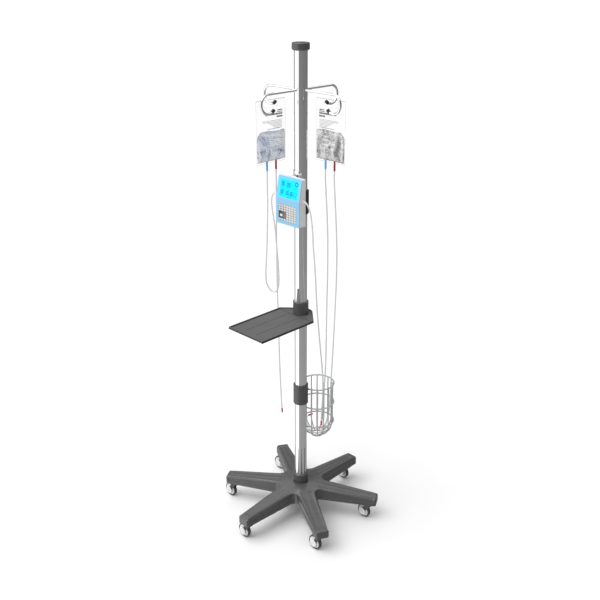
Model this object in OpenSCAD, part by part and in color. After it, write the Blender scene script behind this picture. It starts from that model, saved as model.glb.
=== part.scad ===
// Wheeled infusion stand: six-leg base, chrome pole with four bag hooks, two fluid bags with
// tubing, a clamp-on infusion pump, a swivelling tray and a wire basket.
// Millimetres. +Z up, the pole on the Z axis, the floor at Z = 0, the pump and the tray face -Y.

/* [Pole] */
// Height of the whole stand, floor to the top of the cap
stand_h = 2000; // [1900:10:2100]
// Outer diameter of the pole tube
pole_d = 50.8; // [48:0.4:52]
// Wall of the pole tube
pole_wall = 1.6; // [1.2:0.1:3]
// Diameter of the top cap
cap_d = 66; // [60:1:76]
// Height of the top cap
cap_h = 27; // [18:1:40]

/* [Hooks] */
// Height of the four hook arms
hook_z = 1833.5; // [1780:2:1860]
// Distance from the pole axis to the middle of each hook's curl
hook_reach = 162; // [150:1:180]
// Radius of the curl, to the middle of the rod
hook_curl = 34.6; // [30:0.2:38]
// Diameter of the hook rod
hook_d = 9.5; // [8:0.5:11]

/* [Bags] */
// Width of a bag
bag_w = 156; // [130:2:180]
// Height of a bag, hanger strip to bottom weld
bag_h = 245; // [220:5:260]
// Height of the filled part of a bag
fill_h = 116; // [90:2:130]
// Thickness of the filled part
fill_t = 34; // [20:1:44]
// Distance between a bag's two ports
port_gap = 48; // [40:1:60]

/* [Tubing] */
// Outer diameter of the tubing
line_d = 6; // [5:0.5:7]

/* [Pump] */
// Width of the pump
pump_w = 126; // [120:1:140]
// Underside of the pump
pump_z = 1332; // [1300:2:1350]
// Height of the pump
pump_h = 185; // [180:1:200]
// Height of the upright lower part of the front
pump_kink = 99; // [96:1:104]
// Distance from the pole axis to the pump's back
pump_back = 37; // [35:1:42]
// Depth at the foot and at the top
pump_depth = [34, 19];
// Middle and height of the pump's clamp
pump_clamp_z = 1412; // [1400:1:1420]

/* [Tray] */
// Width of the tray
tray_w = 194; // [170:2:220]
// Distance from the pole axis to the tray's front edge
tray_front = 300; // [260:5:330]
// Height of the tray's rim above the floor
tray_z = 950; // [930:5:1000]
// Height of the tray's edge
tray_t = 10; // [8:1:14]

/* [Basket] */
// Radius of the basket, to the middle of the upright wires
basket_r = 66; // [56:1:66]
// Distance from the pole axis to the basket's axis
basket_y = 101; // [101:1:110]
// Height of the top ring above the floor
basket_z = 591; // [570:1:620]
// Distance between two rings
ring_gap = 91; // [80:1:92]
// Number of places for upright wires, one of which the clamp takes
upright_n = 16; // [8:1:16]
// Diameter of the upright wires
wire_d = 5; // [3:0.5:5]
// Diameter of the ring wires
ring_d = 6; // [4:0.5:6.5]

/* [Base] */
// Length of a leg, from the pole axis to the end face
leg_l = 342; // [320:2:360]
// Width of a leg at its end
leg_w = 59; // [46:1:64]
// Width of a leg at the hub
leg_root_w = 88; // [74:2:92]
// Underside of the legs
leg_bottom = 84; // [82:1:94]
// Top of a leg at its end
leg_top = 121; // [114:1:124]
// Top of the hub
hub_top = 146; // [140:1:152]
// Distance from the pole axis to each caster's stem
stem_r = 308; // [290:2:315]

/* [Casters] */
// Diameter of a caster wheel
wheel_d = 63; // [56:1:64]
// Width of a caster wheel
wheel_w = 17; // [15:1:20]
// How far a wheel trails behind its stem
trail = 27; // [20:1:28]

/* [Hidden] */
$fn = 96;

eps = 0.01;
fit = 0.06;                 // radial clearance of a part that turns or slides on another
gap = 0.15;                 // clearance between parts that are fixed side by side
pole_r = pole_d / 2;
bore_r = pole_r - pole_wall;
leg_n = 6;
knob_dir = 135;             // the clamp knobs stand on this side of the pole

charcoal = "#4a4a4c";
black = "#1c1c1e";
chrome = "#c9ccd0";
cream = "#e6e2dc";
pale_blue = "#8cc8f4";

// ---------- base ----------

collar_r = 31;
pole_foot = leg_bottom + 6;
collar_top = 186;
bolt_r = 5;
stem_d = 10;
stem_top = 109;
leg_bevel = 9;

root_fillet = 18;

module base_outline() {
    offset(r = -root_fillet, $fn = 48)
        offset(delta = root_fillet)
            for (i = [0:leg_n - 1])
                rotate(90 + i * 60)
                    polygon([
                        [0, -leg_root_w / 2],
                        [30, -leg_root_w / 2],
                        [leg_l - 7, -leg_w / 2],
                        [leg_l, -leg_w / 2 + 7],
                        [leg_l, leg_w / 2 - 7],
                        [leg_l - 7, leg_w / 2],
                        [30, leg_root_w / 2],
                        [0, leg_root_w / 2]
                    ]);
}

// A block whose underside is the sloping shoulder on one side of a leg
module shoulder_cut(side) {
    taper = atan((leg_root_w - leg_w) / 2 / (leg_l - 37));
    fall = atan((hub_top - leg_top) / (leg_l - 60));
    translate([leg_l, side * leg_w / 2, leg_top - leg_bevel])
        rotate([0, fall, -side * taper])
            rotate([-side * 48, 0, 0])
                translate([-240, -30, 0])
                    cube([260, 60, 40]);
}

module base_moulding() {
    color(charcoal)
        difference() {
            intersection() {
                translate([0, 0, leg_bottom]) linear_extrude(80) base_outline();
                rotate_extrude()
                    polygon([
                        [0, leg_bottom - 5],
                        [leg_l + 5, leg_bottom - 5],
                        [leg_l + 5, leg_top - 6],
                        [leg_l - 5, leg_top],
                        [60, hub_top - 2],
                        [44, hub_top],
                        [0, hub_top]
                    ]);
            }
            translate([0, 0, pole_foot]) cylinder(r = pole_r + gap, h = 100);
            translate([0, 0, hub_top - 18]) cylinder(r = collar_r - 2 + gap, h = 100);
            translate([0, 0, leg_bottom - 1]) cylinder(r = bolt_r + 0.25, h = 20);
            for (i = [0:leg_n - 1])
                rotate(90 + i * 60) {
                    shoulder_cut(1);
                    shoulder_cut(-1);
                    translate([stem_r, 0, leg_bottom - 1]) cylinder(d = stem_d + 2 * fit, h = stem_top - leg_bottom + 1);
                    translate([stem_r - 2, 0, leg_top + 1]) cylinder(r = 3.2, h = 10);
                }
        }
}

module pole_collar() {
    color(black)
        rotate_extrude()
            polygon([
                [pole_r + gap, hub_top - 18 + gap],
                [collar_r - 2, hub_top - 18 + gap],
                [collar_r - 2, hub_top + 2],
                [collar_r - 1, hub_top + 6],
                [collar_r, hub_top + 12],
                [collar_r, collar_top - 1.5],
                [collar_r - 1.5, collar_top],
                [pole_r + gap, collar_top]
            ]);
}

module pole_tube() {
    color(chrome)
        difference() {
            translate([0, 0, pole_foot + gap]) cylinder(r = pole_r, h = stand_h - 4 - pole_foot - gap, $fn = 128);
            translate([0, 0, pole_foot - 1]) cylinder(r = bore_r, h = stand_h);
            for (a = [0, 90])
                translate([0, 0, hook_z])
                    rotate([90, 0, a])
                        cylinder(d = hook_d + 2 * gap, h = 2 * pole_d, center = true);
        }
}

module top_cap() {
    color(charcoal)
        rotate_extrude()
            polygon([
                [0, stand_h],
                [cap_d / 2 - 3, stand_h],
                [cap_d / 2, stand_h - 2.5],
                [cap_d / 2, stand_h - cap_h + 4],
                [cap_d / 2 - 4, stand_h - cap_h],
                [pole_r + gap, stand_h - cap_h],
                [pole_r + gap, stand_h - 4 + gap],
                [0, stand_h - 4 + gap]
            ]);
}

module pole_plug() {
    color("silver")
        translate([0, 0, pole_foot + 1])
            difference() {
                cylinder(r = bore_r - gap, h = 34);
                translate([0, 0, -1]) cylinder(r = bolt_r + fit, h = 40);
            }
}

module base_bolt() {
    color("silver") {
        translate([0, 0, leg_bottom - 10.2]) cylinder(r = 8.5, h = 7, $fn = 6);
        translate([0, 0, leg_bottom - 3.2]) cylinder(r = 16, h = 3);
        translate([0, 0, leg_bottom - 4]) cylinder(r = bolt_r, h = 34);
    }
}

// ---------- casters ----------

axle_z = wheel_d / 2;
fork_gap = 1;
fork_t = 3;
fork_y = wheel_w / 2 + fork_gap;
crown_top = leg_bottom - 0.8;
hub_r = wheel_d / 2 - 5.5;
axle_r = 3;

module at_caster(i) {
    rotate(90 + i * 60)
        translate([stem_r, 0, 0])
            rotate(-90 - i * 60)
                children();
}

// One arm of the fork, a wedge that narrows towards the axle
module fork_side() {
    rotate([90, 0, 0])
        linear_extrude(fork_t) {
            polygon([[-16, 74], [11, 74], [11, 66], [-22.9, axle_z - 2.8], [-31.1, axle_z + 2.8], [-16, 62]]);
            translate([-trail, axle_z]) circle(r = 5);
        }
}

module fork() {
    color(black) {
        translate([0, 0, 70]) cylinder(d = stem_d, h = stem_top - 71);
        translate([0, 0, 70]) cylinder(r = 12, h = crown_top - 70);
        translate([-16, -fork_y - fork_t, 66]) cube([27, 2 * (fork_y + fork_t), 8]);
        translate([0, -fork_y, 0]) fork_side();
        translate([0, fork_y + fork_t, 0]) fork_side();
        translate([-trail, fork_y + fork_t + 2, axle_z])
            rotate([90, 0, 0]) {
                cylinder(r = axle_r, h = 2 * (fork_y + fork_t + 2));
                cylinder(r = 8, h = 2);
                translate([0, 0, 2 * (fork_y + fork_t) + 2]) cylinder(r = 8, h = 2);
            }
    }
}

module hub() {
    color("white")
        translate([-trail, 0, axle_z])
            rotate([90, 0, 0])
                rotate_extrude()
                    polygon([
                        [axle_r + fit, -wheel_w / 2 - 0.5],
                        [7, -wheel_w / 2 - 0.5],
                        [9, -wheel_w / 2 + 1.5],
                        [hub_r - 1.5, -wheel_w / 2 + 1],
                        [hub_r, -wheel_w / 2 + 2.5],
                        [hub_r, wheel_w / 2 - 2.5],
                        [hub_r - 1.5, wheel_w / 2 - 1],
                        [9, wheel_w / 2 - 1.5],
                        [7, wheel_w / 2 + 0.5],
                        [axle_r + fit, wheel_w / 2 + 0.5]
                    ]);
}

module tyre() {
    color("#333335")
        translate([-trail, 0, axle_z])
            rotate([90, 0, 0])
                rotate_extrude()
                    polygon([
                        [hub_r + 0.02, -wheel_w / 2 + 2.5],
                        [hub_r + 1, -wheel_w / 2 + 0.3],
                        [wheel_d / 2 - 3, -wheel_w / 2],
                        [wheel_d / 2 - 0.6, -wheel_w / 2 + 2.5],
                        [wheel_d / 2, -wheel_w / 2 + 5],
                        [wheel_d / 2, wheel_w / 2 - 5],
                        [wheel_d / 2 - 0.6, wheel_w / 2 - 2.5],
                        [wheel_d / 2 - 3, wheel_w / 2],
                        [hub_r + 1, wheel_w / 2 - 0.3],
                        [hub_r + 0.02, wheel_w / 2 - 2.5]
                    ]);
}

// ---------- hooks ----------

curl_end = 225;             // how far round the curl the rod runs, from the top
tip_l = 13;

module hook_rod() {
    translate([8, 0, hook_z]) rotate([0, 90, 0]) cylinder(d = hook_d, h = hook_reach - 8.02, $fn = 32);
    translate([hook_reach, 0, hook_z - hook_curl])
        rotate([90, 0, 0])
            rotate([0, 0, 90 - curl_end])
                rotate_extrude(angle = curl_end)
                    translate([hook_curl, 0]) circle(d = hook_d, $fn = 32);
}

module hook_arms() {
    color(chrome)
        for (a = [0:90:270]) rotate(a) hook_rod();
}

module hook_block() {
    color("silver")
        difference() {
            translate([0, 0, hook_z - 14]) cylinder(r = bore_r - gap, h = 28);
            for (a = [0, 90])
                translate([0, 0, hook_z])
                    rotate([90, 0, a])
                        cylinder(d = hook_d + 2 * fit, h = 2 * pole_d, center = true);
        }
}

module hook_tips() {
    color(black)
        for (a = [0:90:270])
            rotate(a)
                difference() {
                    translate([hook_reach, 0, hook_z - hook_curl])
                        rotate([0, curl_end - 6, 0])
                            translate([-tip_l / 2, 0, hook_curl])
                                rotate([0, 90, 0])
                                    cylinder(d = hook_d + 3.5, h = tip_l, $fn = 32);
                    translate([hook_reach, 0, hook_z - hook_curl])
                        rotate([90, 0, 0])
                            rotate([0, 0, 90 - curl_end])
                                rotate_extrude(angle = 60)
                                    translate([hook_curl, 0]) circle(d = hook_d + 0.04, $fn = 32);
                }
}

// ---------- bags ----------

bag_off = 162;              // from the pole axis to the bag's middle plane
bag_top = hook_z - 2 * hook_curl + hook_d / 2 + 0.3 + 12;
bag_bottom = bag_top - bag_h;
film_t = 1.6;
slot_w = 66;
slot_h = 17;
port_top = bag_bottom + 9;
port_l = 38;

// A bag in its own frame: width along X, thickness along Y
module bag() {
    difference() {
        translate([-bag_w / 2, -film_t / 2, bag_bottom]) cube([bag_w, film_t, bag_h]);
        for (s = [-1, 1])
            translate([s * (slot_w - slot_h) / 2, 0, bag_top - 12 - slot_h / 2])
                rotate([90, 0, 0])
                    cylinder(d = slot_h, h = 20, center = true);
        translate([-(slot_w - slot_h) / 2, -10, bag_top - 12 - slot_h]) cube([slot_w - slot_h, 20, slot_h]);
    }
    hull() {
        translate([-bag_w / 2 + 3, -film_t / 2 - 0.1, bag_bottom + 8]) cube([bag_w - 6, film_t + 0.2, fill_h]);
        translate([-bag_w / 2 + 22, -fill_t / 2, bag_bottom + 26]) cube([bag_w - 44, fill_t, fill_h - 46]);
    }
}

module left_bag() {
    color("lightblue", 0.6) translate([-bag_off, 0, 0]) rotate(90) port_holes() bag();
}

module right_bag() {
    color("gainsboro", 0.6) translate([0, bag_off, 0]) port_holes() bag();
}

module port_holes() {
    difference() {
        children();
        for (s = [-1, 1])
            translate([s * port_gap / 2, 0, bag_bottom - 5])
                cylinder(r = 4.2 + gap, h = port_top - bag_bottom + 5 + gap, $fn = 32);
    }
}

module port() {
    difference() {
        translate([0, 0, port_top - port_l]) cylinder(r = 4.2, h = port_l, $fn = 32);
        translate([0, 0, port_top - port_l - 1]) cylinder(r = line_d / 2 + 0.1, h = 9, $fn = 32);
    }
}

module bag_ports() {
    color("crimson") {
        translate([-bag_off, port_gap / 2, 0]) port();
        translate([port_gap / 2, bag_off, 0]) port();
    }
    color("dodgerblue") {
        translate([-bag_off, -port_gap / 2, 0]) port();
        translate([-port_gap / 2, bag_off, 0]) port();
    }
}

// ---------- tubing ----------

line_start = port_top - port_l + 7.8;

// Left bag's blue port, down, round a hanging loop and up to the pump's inlet
inlet_route = [
    [-162, -24, line_start], [-162, -24, 1500], [-162, -24, 1460], [-162, -24, 1370], [-162, -27, 1290],
    [-162, -31, 1210], [-162, -36, 1140], [-162, -40, 1085], [-159, -38, 1040], [-150, -26, 1012],
    [-137, -16, 1004], [-124, -10, 1018], [-115, -12, 1060], [-110, -19, 1130], [-104, -32, 1210],
    [-102, -40, 1280], [-104, -46, 1330], [-107, -52, 1380], [-106, -54, 1410], [-100, -54, 1429],
    [-90, -52, 1438], [-79, -50, 1436], [-70, -50, 1433], [-63.2, -50, 1433]
];

// Left bag's red port, straight down to a cap
drip_route = [
    [-162, 24, line_start], [-162, 24, 1500], [-162, 24, 1460], [-162, 24, 1380], [-162, 23, 1300],
    [-162, 22, 1220], [-162, 22, 1140], [-162, 23, 1060], [-162, 24, 980], [-162, 26, 900],
    [-162, 28, 820], [-162, 30, 740], [-162, 32, 660], [-162, 35, 580], [-162, 39, 500],
    [-162, 44, 420]
];

// Right bag's blue port, down into the basket and round the middle of its floor to a cap
blue_route = [
    [-24, 162, line_start], [-24, 162, 1500], [-24, 162, 1465], [-14, 162, 1340], [-8, 162, 1240],
    [-6, 162, 1140], [-6, 162, 1040], [-5, 159, 940], [-1, 154, 840], [6, 146, 740],
    [12, 138, 660], [16, 130, 600], [18, 124, 540], [21, 121, 480], [24, 118, 430],
    [27, 110, 390], [27, 98, 363], [20, 86, 355], [4, 78, 354], [-14, 84, 354],
    [-22, 98, 355], [-18, 114, 356], [-6, 122, 358]
];

// Right bag's red port, down into the basket and round its wall to a cap
red_route = [
    [24, 162, line_start], [24, 162, 1500], [24, 162, 1465], [34, 162, 1340], [41, 162, 1240],
    [45, 161, 1160], [46, 160, 1060], [45, 157, 960], [44, 154, 860], [43, 150, 760],
    [42, 146, 680], [42, 142, 610], [42, 138, 540], [43, 132, 470], [43, 120, 420],
    [42, 104, 384], [37, 84, 368], [20, 66, 365], [-4, 60, 365], [-28, 70, 370],
    [-46, 84, 384], [-56, 94, 398], [-58.5, 101, 403], [-56.5, 108, 404.5]
];

// Pump's outlet, out to the right and down into the basket, where its cap hangs free
outlet_route = [
    [63.2, -50, 1433], [70, -50, 1433], [77, -50, 1431], [84, -48, 1423], [89, -44, 1408], [93, -39, 1380],
    [95, -32, 1320], [93, -26, 1260], [90, -15, 1190], [84, -2, 1110], [78, 9, 1040],
    [72, 22, 960], [64, 40, 870], [55, 60, 780], [47, 78, 700], [41, 90, 640],
    [38, 97, 600], [36, 99, 560], [34, 98, 520], [32, 97, 480], [31, 96, 450], [30.5, 95.5, 413]
];

// A point on the smooth curve through four neighbouring route points
function curve_at(a, b, c, d, t) =
    0.5 * (2 * b + (c - a) * t + (2 * a - 5 * b + 4 * c - d) * t * t + (3 * b - a - 3 * c + d) * t * t * t);

function smooth(r, n) = [
    for (i = [0:len(r) - 2])
        for (k = [0:n - 1])
            curve_at(r[max(i - 1, 0)], r[i], r[i + 1], r[min(i + 2, len(r) - 1)], k / n),
    r[len(r) - 1]
];

function unit(v) = v / norm(v);

function tangents(p) = [for (i = [0:len(p) - 1]) unit(p[min(i + 1, len(p) - 1)] - p[max(i - 1, 0)])];

// Normals carried along the curve without twist
function normals(t, i, n, done) =
    i == len(t) ? done : let (m = unit(n - (n * t[i]) * t[i])) normals(t, i + 1, m, concat(done, [m]));

module swept_tube(route, n, sides) {
    path = smooth(route, n);
    t = tangents(path);
    side_way = normals(t, 0, [0.31, 0.95, 0.05], []);
    points = [
        for (i = [0:len(path) - 1])
            for (k = [0:sides - 1])
                path[i] + line_d / 2 * (cos(k * 360 / sides) * side_way[i]
                    + sin(k * 360 / sides) * cross(t[i], side_way[i]))
    ];
    last = (len(path) - 1) * sides;
    faces = concat(
        [[for (k = [0:sides - 1]) k]],
        [[for (k = [sides - 1:-1:0]) last + k]],
        [
            for (i = [0:len(path) - 2])
                for (k = [0:sides - 1])
                    let (a = i * sides + k, b = i * sides + (k + 1) % sides)
                        [a, a + sides, b + sides, b]
        ]
    );
    polyhedron(points = points, faces = faces, convexity = 10);
}

module pump_inlet_line() {
    color("whitesmoke") swept_tube(inlet_route, 3, 8);
}

module left_drip_line() {
    color("whitesmoke") swept_tube(drip_route, 4, 8);
}

module right_blue_line() {
    color("whitesmoke") swept_tube(blue_route, 3, 8);
}

module right_red_line() {
    color("whitesmoke") swept_tube(red_route, 3, 8);
}

module pump_outlet_line() {
    color("whitesmoke") swept_tube(outlet_route, 3, 8);
}

// A closed cap on the end of a route, in line with its last stretch
module line_cap(route) {
    end = route[len(route) - 1];
    way = unit(end - route[len(route) - 2]);
    translate(end)
        rotate([0, acos(way[2]), atan2(way[1], way[0])])
            translate([0, 0, gap]) cylinder(r = 3.8, h = 19, $fn = 32);
}

module line_caps() {
    color("crimson") {
        line_cap(drip_route);
        line_cap(blue_route);
        line_cap(red_route);
        line_cap(outlet_route);
    }
}

// ---------- basket ----------

clamp_h = 89;
basket_clamp_z = 535;
screw_dir = 150;
ring_r = basket_r + (wire_d + ring_d) / 2 - 0.4;
basket_low = basket_z - 2 * ring_gap;
bowl_z = basket_low - 6;     // where the uprights start to curve in
bowl_r = basket_r - 4;
bowl_turn = 77;
floor_dir = 73;             // how far down the bowl its floor ring sits
stub_z = basket_z - 8;

module collar_ring(z, h, r, bore) {
    translate([0, 0, z])
        rotate_extrude()
            polygon([[bore, 0], [r - 2, 0], [r, 3], [r, h - 1.5], [r - 1, h], [bore, h]]);
}

module basket_clamp() {
    color(charcoal)
        difference() {
            union() {
                collar_ring(basket_clamp_z, clamp_h, collar_r, pole_r + gap);
                difference() {
                    translate([-12, 20, stub_z]) cube([24, 14, 14]);
                    translate([0, 0, stub_z - 1]) cylinder(r = pole_r + gap, h = 20);
                }
            }
            translate([0, basket_y, basket_z])
                rotate_extrude()
                    translate([ring_r, 0]) circle(d = ring_d + 2 * gap, $fn = 32);
            rotate(screw_dir)
                translate([pole_r - 1, 0, basket_clamp_z + clamp_h / 2])
                    rotate([0, 90, 0])
                        cylinder(r = 3 + fit, h = 10);
        }
}

module basket_screw() {
    color("silver")
        rotate(screw_dir)
            translate([pole_r + gap, 0, basket_clamp_z + clamp_h / 2])
                rotate([0, 90, 0])
                    difference() {
                        cylinder(r = 3, h = collar_r - pole_r - 0.4);
                        translate([0, 0, 2.5]) cylinder(r = 1.6, h = 10, $fn = 6);
                    }
}

module basket_rings() {
    color("lightgray")
        translate([0, basket_y, 0])
            for (k = [0:2])
                translate([0, 0, basket_z - k * ring_gap])
                    rotate_extrude()
                        translate([ring_r, 0]) circle(d = ring_d, $fn = 32);
}

// The straight wires, and the small ring under the middle of the floor
module basket_uprights() {
    color("lightgray")
        translate([0, basket_y, 0]) {
            for (k = [1:upright_n - 1])
                rotate(k * 360 / upright_n - 90)
                    translate([basket_r, 0, bowl_z]) cylinder(d = wire_d, h = basket_z - bowl_z + 1, $fn = 24);
            rotate_extrude()
                translate([
                    4 + (bowl_r + wire_d - 0.4) * cos(floor_dir),
                    bowl_z - (bowl_r + wire_d - 0.4) * sin(floor_dir)
                ])
                    circle(d = wire_d, $fn = 32);
        }
}

// The same wires' lower ends, curved in to make a round floor
module basket_bowl() {
    color("lightgray")
        translate([0, basket_y, 0])
            for (k = [1:upright_n - 1])
                rotate(k * 360 / upright_n - 90)
                    translate([4, 0, bowl_z])
                        rotate([90, 0, 0])
                            rotate([0, 0, -bowl_turn])
                                rotate_extrude(angle = bowl_turn)
                                    translate([bowl_r, 0]) circle(d = wire_d, $fn = 24);
}

// ---------- tray ----------

bush_r = pole_r + 2.2;
tray_collar_r = 31.4;
tray_collar_top = tray_z + 50;
tray_under = tray_z - tray_t;
tray_floor = tray_z - 4;
tray_rear = 25;
round_r = 48;
rim_w = 4;
// Where the straight sides meet the round end
corner_r = norm([tray_w / 2, tray_rear]);
tangent_a = acos(round_r / corner_r) - atan(tray_rear / (tray_w / 2));

module tray_outline(inset) {
    w = tray_w / 2 - inset;
    r = round_r - inset;
    rear = tray_rear + inset * 0.41;
    polygon([
        [-w, -tray_front + inset],
        [w, -tray_front + inset],
        [w, -rear],
        [r * cos(tangent_a), r * sin(tangent_a)],
        [-r * cos(tangent_a), r * sin(tangent_a)],
        [-w, -rear]
    ]);
    circle(r = r);
}

module tray_bush() {
    color("white")
        rotate_extrude()
            polygon([
                [pole_r + fit, tray_under - 5],
                [tray_collar_r - 1, tray_under - 5],
                [tray_collar_r - 1, tray_under - 2],
                [bush_r, tray_under - 2],
                [bush_r, tray_collar_top - 2],
                [pole_r + fit, tray_collar_top - 2]
            ]);
}

module tray_collar() {
    color(charcoal)
        difference() {
            union() {
                collar_ring(tray_under - 1.9, tray_collar_top - tray_under + 1.9, tray_collar_r, bush_r + fit);
                rotate(knob_dir)
                    translate([bush_r + 1, 0, tray_z + 24])
                        rotate([0, 90, 0])
                            cylinder(r = 9, h = 12);
            }
            translate([0, 0, tray_under - 5]) cylinder(r = bush_r + fit, h = 80);
            rotate(knob_dir)
                translate([bush_r - 1, 0, tray_z + 24])
                    rotate([0, 90, 0])
                        cylinder(r = 4 + fit, h = 30);
        }
}

module tray_plate() {
    color(charcoal)
        difference() {
            translate([0, 0, tray_under]) linear_extrude(tray_t) tray_outline(0);
            translate([0, 0, tray_floor]) linear_extrude(tray_t) tray_outline(rim_w);
            translate([0, 0, tray_under - 1]) cylinder(r = tray_collar_r + 0.02, h = 20);
            for (s = [-1, 1])
                translate([s * 30 - 1.5, -tray_front + 30, tray_floor - 1.2])
                    cube([3, tray_front - tray_rear - 45, 5]);
        }
}

// A clamp knob in its own frame: the screw's tip at the origin, pointing along -X
module clamp_knob(shank) {
    rotate([0, 90, 0]) {
        cylinder(r = 4, h = shank + 6);
        translate([0, 0, shank])
            difference() {
                union() {
                    cylinder(r = 13, h = 14);
                    translate([0, 0, 13]) cylinder(r = 10, h = 3);
                }
                for (k = [0:7])
                    rotate(k * 45)
                        translate([15, 0, -1])
                            cylinder(r = 4, h = 30);
            }
    }
}

module tray_knob() {
    color(black)
        rotate(knob_dir)
            translate([bush_r + 0.3, 0, tray_z + 24])
                clamp_knob(14);
}

// ---------- pump ----------

foot_y = -pump_back - pump_depth[0];
top_y = -pump_back - pump_depth[1];
kink_z = pump_z + pump_kink;
pump_top = pump_z + pump_h;
slope = atan((top_y - foot_y) / (pump_top - kink_z));
face_t = 3;
shell_t = 2.5;
edge_r = 5;
line_y = -50;
line_z = 1433;
rotor_r = 26;
rotor_z = line_z - line_d / 2 - 0.3 - rotor_r;
back_y = -pump_back - shell_t;
display = [101, 70];
pad_x = [-49.5, 46];
pad_z = [1345.5, 1409.5];
key_pitch = [13.6, 9.1];
key_size = [10.4, 6.4];
key_rise = 1.2;
pad_t = 2.2;

module rounded(w, h, r) {
    translate([-w / 2 + r, 0]) square([w - 2 * r, h]);
    translate([-w / 2, r]) square([w, h - 2 * r]);
    for (x = [-w / 2 + r, w / 2 - r])
        for (y = [r, h - r])
            translate([x, y]) circle(r = r, $fn = 48);
}

// A block with the pump's side profile, its front set back by front and its back at y = back
module pump_block(w, front, back, low, high) {
    drop = front / cos(slope);
    intersection() {
        translate([-w / 2, 0, 0])
            rotate([90, 0, 90])
                linear_extrude(w)
                    polygon([
                        [foot_y + front, low],
                        [foot_y + front, kink_z],
                        [top_y + drop, pump_top],
                        [top_y + drop, high + 1],
                        [back, high + 1],
                        [back, low]
                    ]);
        translate([0, 0, low])
            rotate([90, 0, 0])
                linear_extrude(200)
                    rounded(w, high - low, edge_r);
    }
}

// The sloping upper front: the origin on its lower edge, Z up the slope, -Y outwards
module on_slope() {
    translate([0, foot_y, kink_z])
        rotate([-slope, 0, 0])
            children();
}

module pump_face() {
    color(pale_blue)
        difference() {
            intersection() {
                pump_block(pump_w, 0, -20, pump_z, pump_top);
                translate([-pump_w, -200, 0]) cube([2 * pump_w, 200, 3000]);
            }
            pump_block(pump_w + 20, face_t, 20, pump_z - 10, pump_top + 10);
            on_slope() translate([-display[0] / 2 - gap, -5, 6]) cube([display[0] + 2 * gap, 12, display[1] + 2 * gap]);
            translate([pad_x[0] - gap, foot_y - 5, pad_z[0] - gap])
                cube([pad_x[1] - pad_x[0] + 2 * gap, 12, pad_z[1] - pad_z[0] + 2 * gap]);
        }
}

module pump_shell() {
    color(cream)
        difference() {
            union() {
                pump_block(pump_w, face_t + 0.02, back_y - 0.02, pump_z, pump_top);
                for (s = [-1, 1])
                    translate([s * (pump_w / 2 - 1), line_y, line_z])
                        rotate([0, s * 90, 0])
                            cylinder(r = 5.5, h = 4.5, $fn = 48);
            }
            pump_block(pump_w - 2 * shell_t, -20, 20, pump_z + shell_t, pump_top - shell_t);
            translate([-200, line_y, line_z]) rotate([0, 90, 0]) cylinder(r = line_d / 2 + 0.2, h = 400, $fn = 48);
        }
}

// The pump's back, with four posts for the board and two cradles for the cells
module pump_back_cover() {
    color("lightgray") {
        translate([0, -pump_back, pump_z])
            rotate([90, 0, 0])
                linear_extrude(shell_t)
                    rounded(pump_w, pump_h, edge_r);
        for (s = [-1, 1])
            for (z = board_holes)
                translate([s * board_hole_x, back_y + 0.1, z])
                    rotate([90, 0, 0]) {
                        cylinder(r = 3, h = back_y - board_y - board_t + 0.08, $fn = 32);
                        cylinder(r = 1.5, h = back_y - board_y + 1, $fn = 32);
                    }
        difference() {
            for (x = [-36, 8])
                translate([x, -51, 1338]) cube([6, back_y + 51.1, 32]);
            for (k = [0:1]) at_cell(k, 8.7);
        }
    }
}

module display_panel() {
    color("cyan")
        on_slope() translate([-display[0] / 2, 0.3, 6 + gap]) cube([display[0], 2.4, display[1]]);
}

stop_at = [-14.5, 1366];
stop_size = [13, 15];
start_at = [-34, 1366];
start_size = [12, 9];
travel = 1.2;

// Keys on the lower left panel make room for the start and stop keys
function has_key(c, r) = c > 2 || r < 3 || r == 6;

module at_key(c, r) {
    translate([pad_x[0] + key_pitch[0] * (c + 0.5), foot_y, pad_z[1] - key_pitch[1] * (r + 0.5)])
        children();
}

module block_key(at, size, front, depth) {
    translate([at[0] - size[0] / 2, foot_y + front, at[1] - size[1] / 2])
        cube([size[0], depth, size[1]]);
}

module keypad() {
    color("#3a3a3c")
        difference() {
            union() {
                translate([pad_x[0], foot_y + 0.5, pad_z[0]])
                    cube([pad_x[1] - pad_x[0], pad_t, pad_z[1] - pad_z[0]]);
                for (c = [0:6])
                    for (r = [0:6])
                        if (has_key(c, r))
                            at_key(c, r)
                                translate([-key_size[0] / 2, 0.5 - key_rise, -key_size[1] / 2])
                                    cube([key_size[0], key_rise + 1, key_size[1]]);
            }
            block_key(stop_at, stop_size + [0.6, 0.6], -5, 20);
            block_key(start_at, start_size + [0.6, 0.6], -5, 20);
        }
}

module moving_key(at, size) {
    block_key(at, size, -1.6, 5);
    block_key(at, size + [3, 3], 3, 0.8);
}

module stop_key() {
    color("#5a5a5c") moving_key(stop_at, stop_size);
}

module start_key() {
    color("white") moving_key(start_at, start_size);
}

board_y = foot_y + 6.4;
board_t = 1.6;
board_holes = [1347, 1419];
board_hole_x = 49;

module main_board() {
    color("darkgreen")
        difference() {
            translate([-54, board_y, 1342]) cube([108, board_t, 82]);
            for (s = [-1, 1])
                for (z = board_holes)
                    translate([s * board_hole_x, board_y - 1, z])
                        rotate([-90, 0, 0])
                            cylinder(r = 1.6, h = 5, $fn = 32);
        }
}

module at_cell(k, r) {
    translate([-44, -51, 1345 + k * 18])
        rotate([0, 90, 0])
            cylinder(r = r, h = 65);
}

module battery() {
    color("royalblue")
        for (k = [0:1]) at_cell(k, 8.6);
}

module drive_motor() {
    color("dimgray")
        translate([0, back_y - 0.02, rotor_z])
            rotate([90, 0, 0])
                difference() {
                    cylinder(r = 17, h = 5);
                    translate([0, 0, 1]) cylinder(r = 2 + fit, h = 10, $fn = 48);
                }
}

rotor_y = [-54.5, -45.5];

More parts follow.
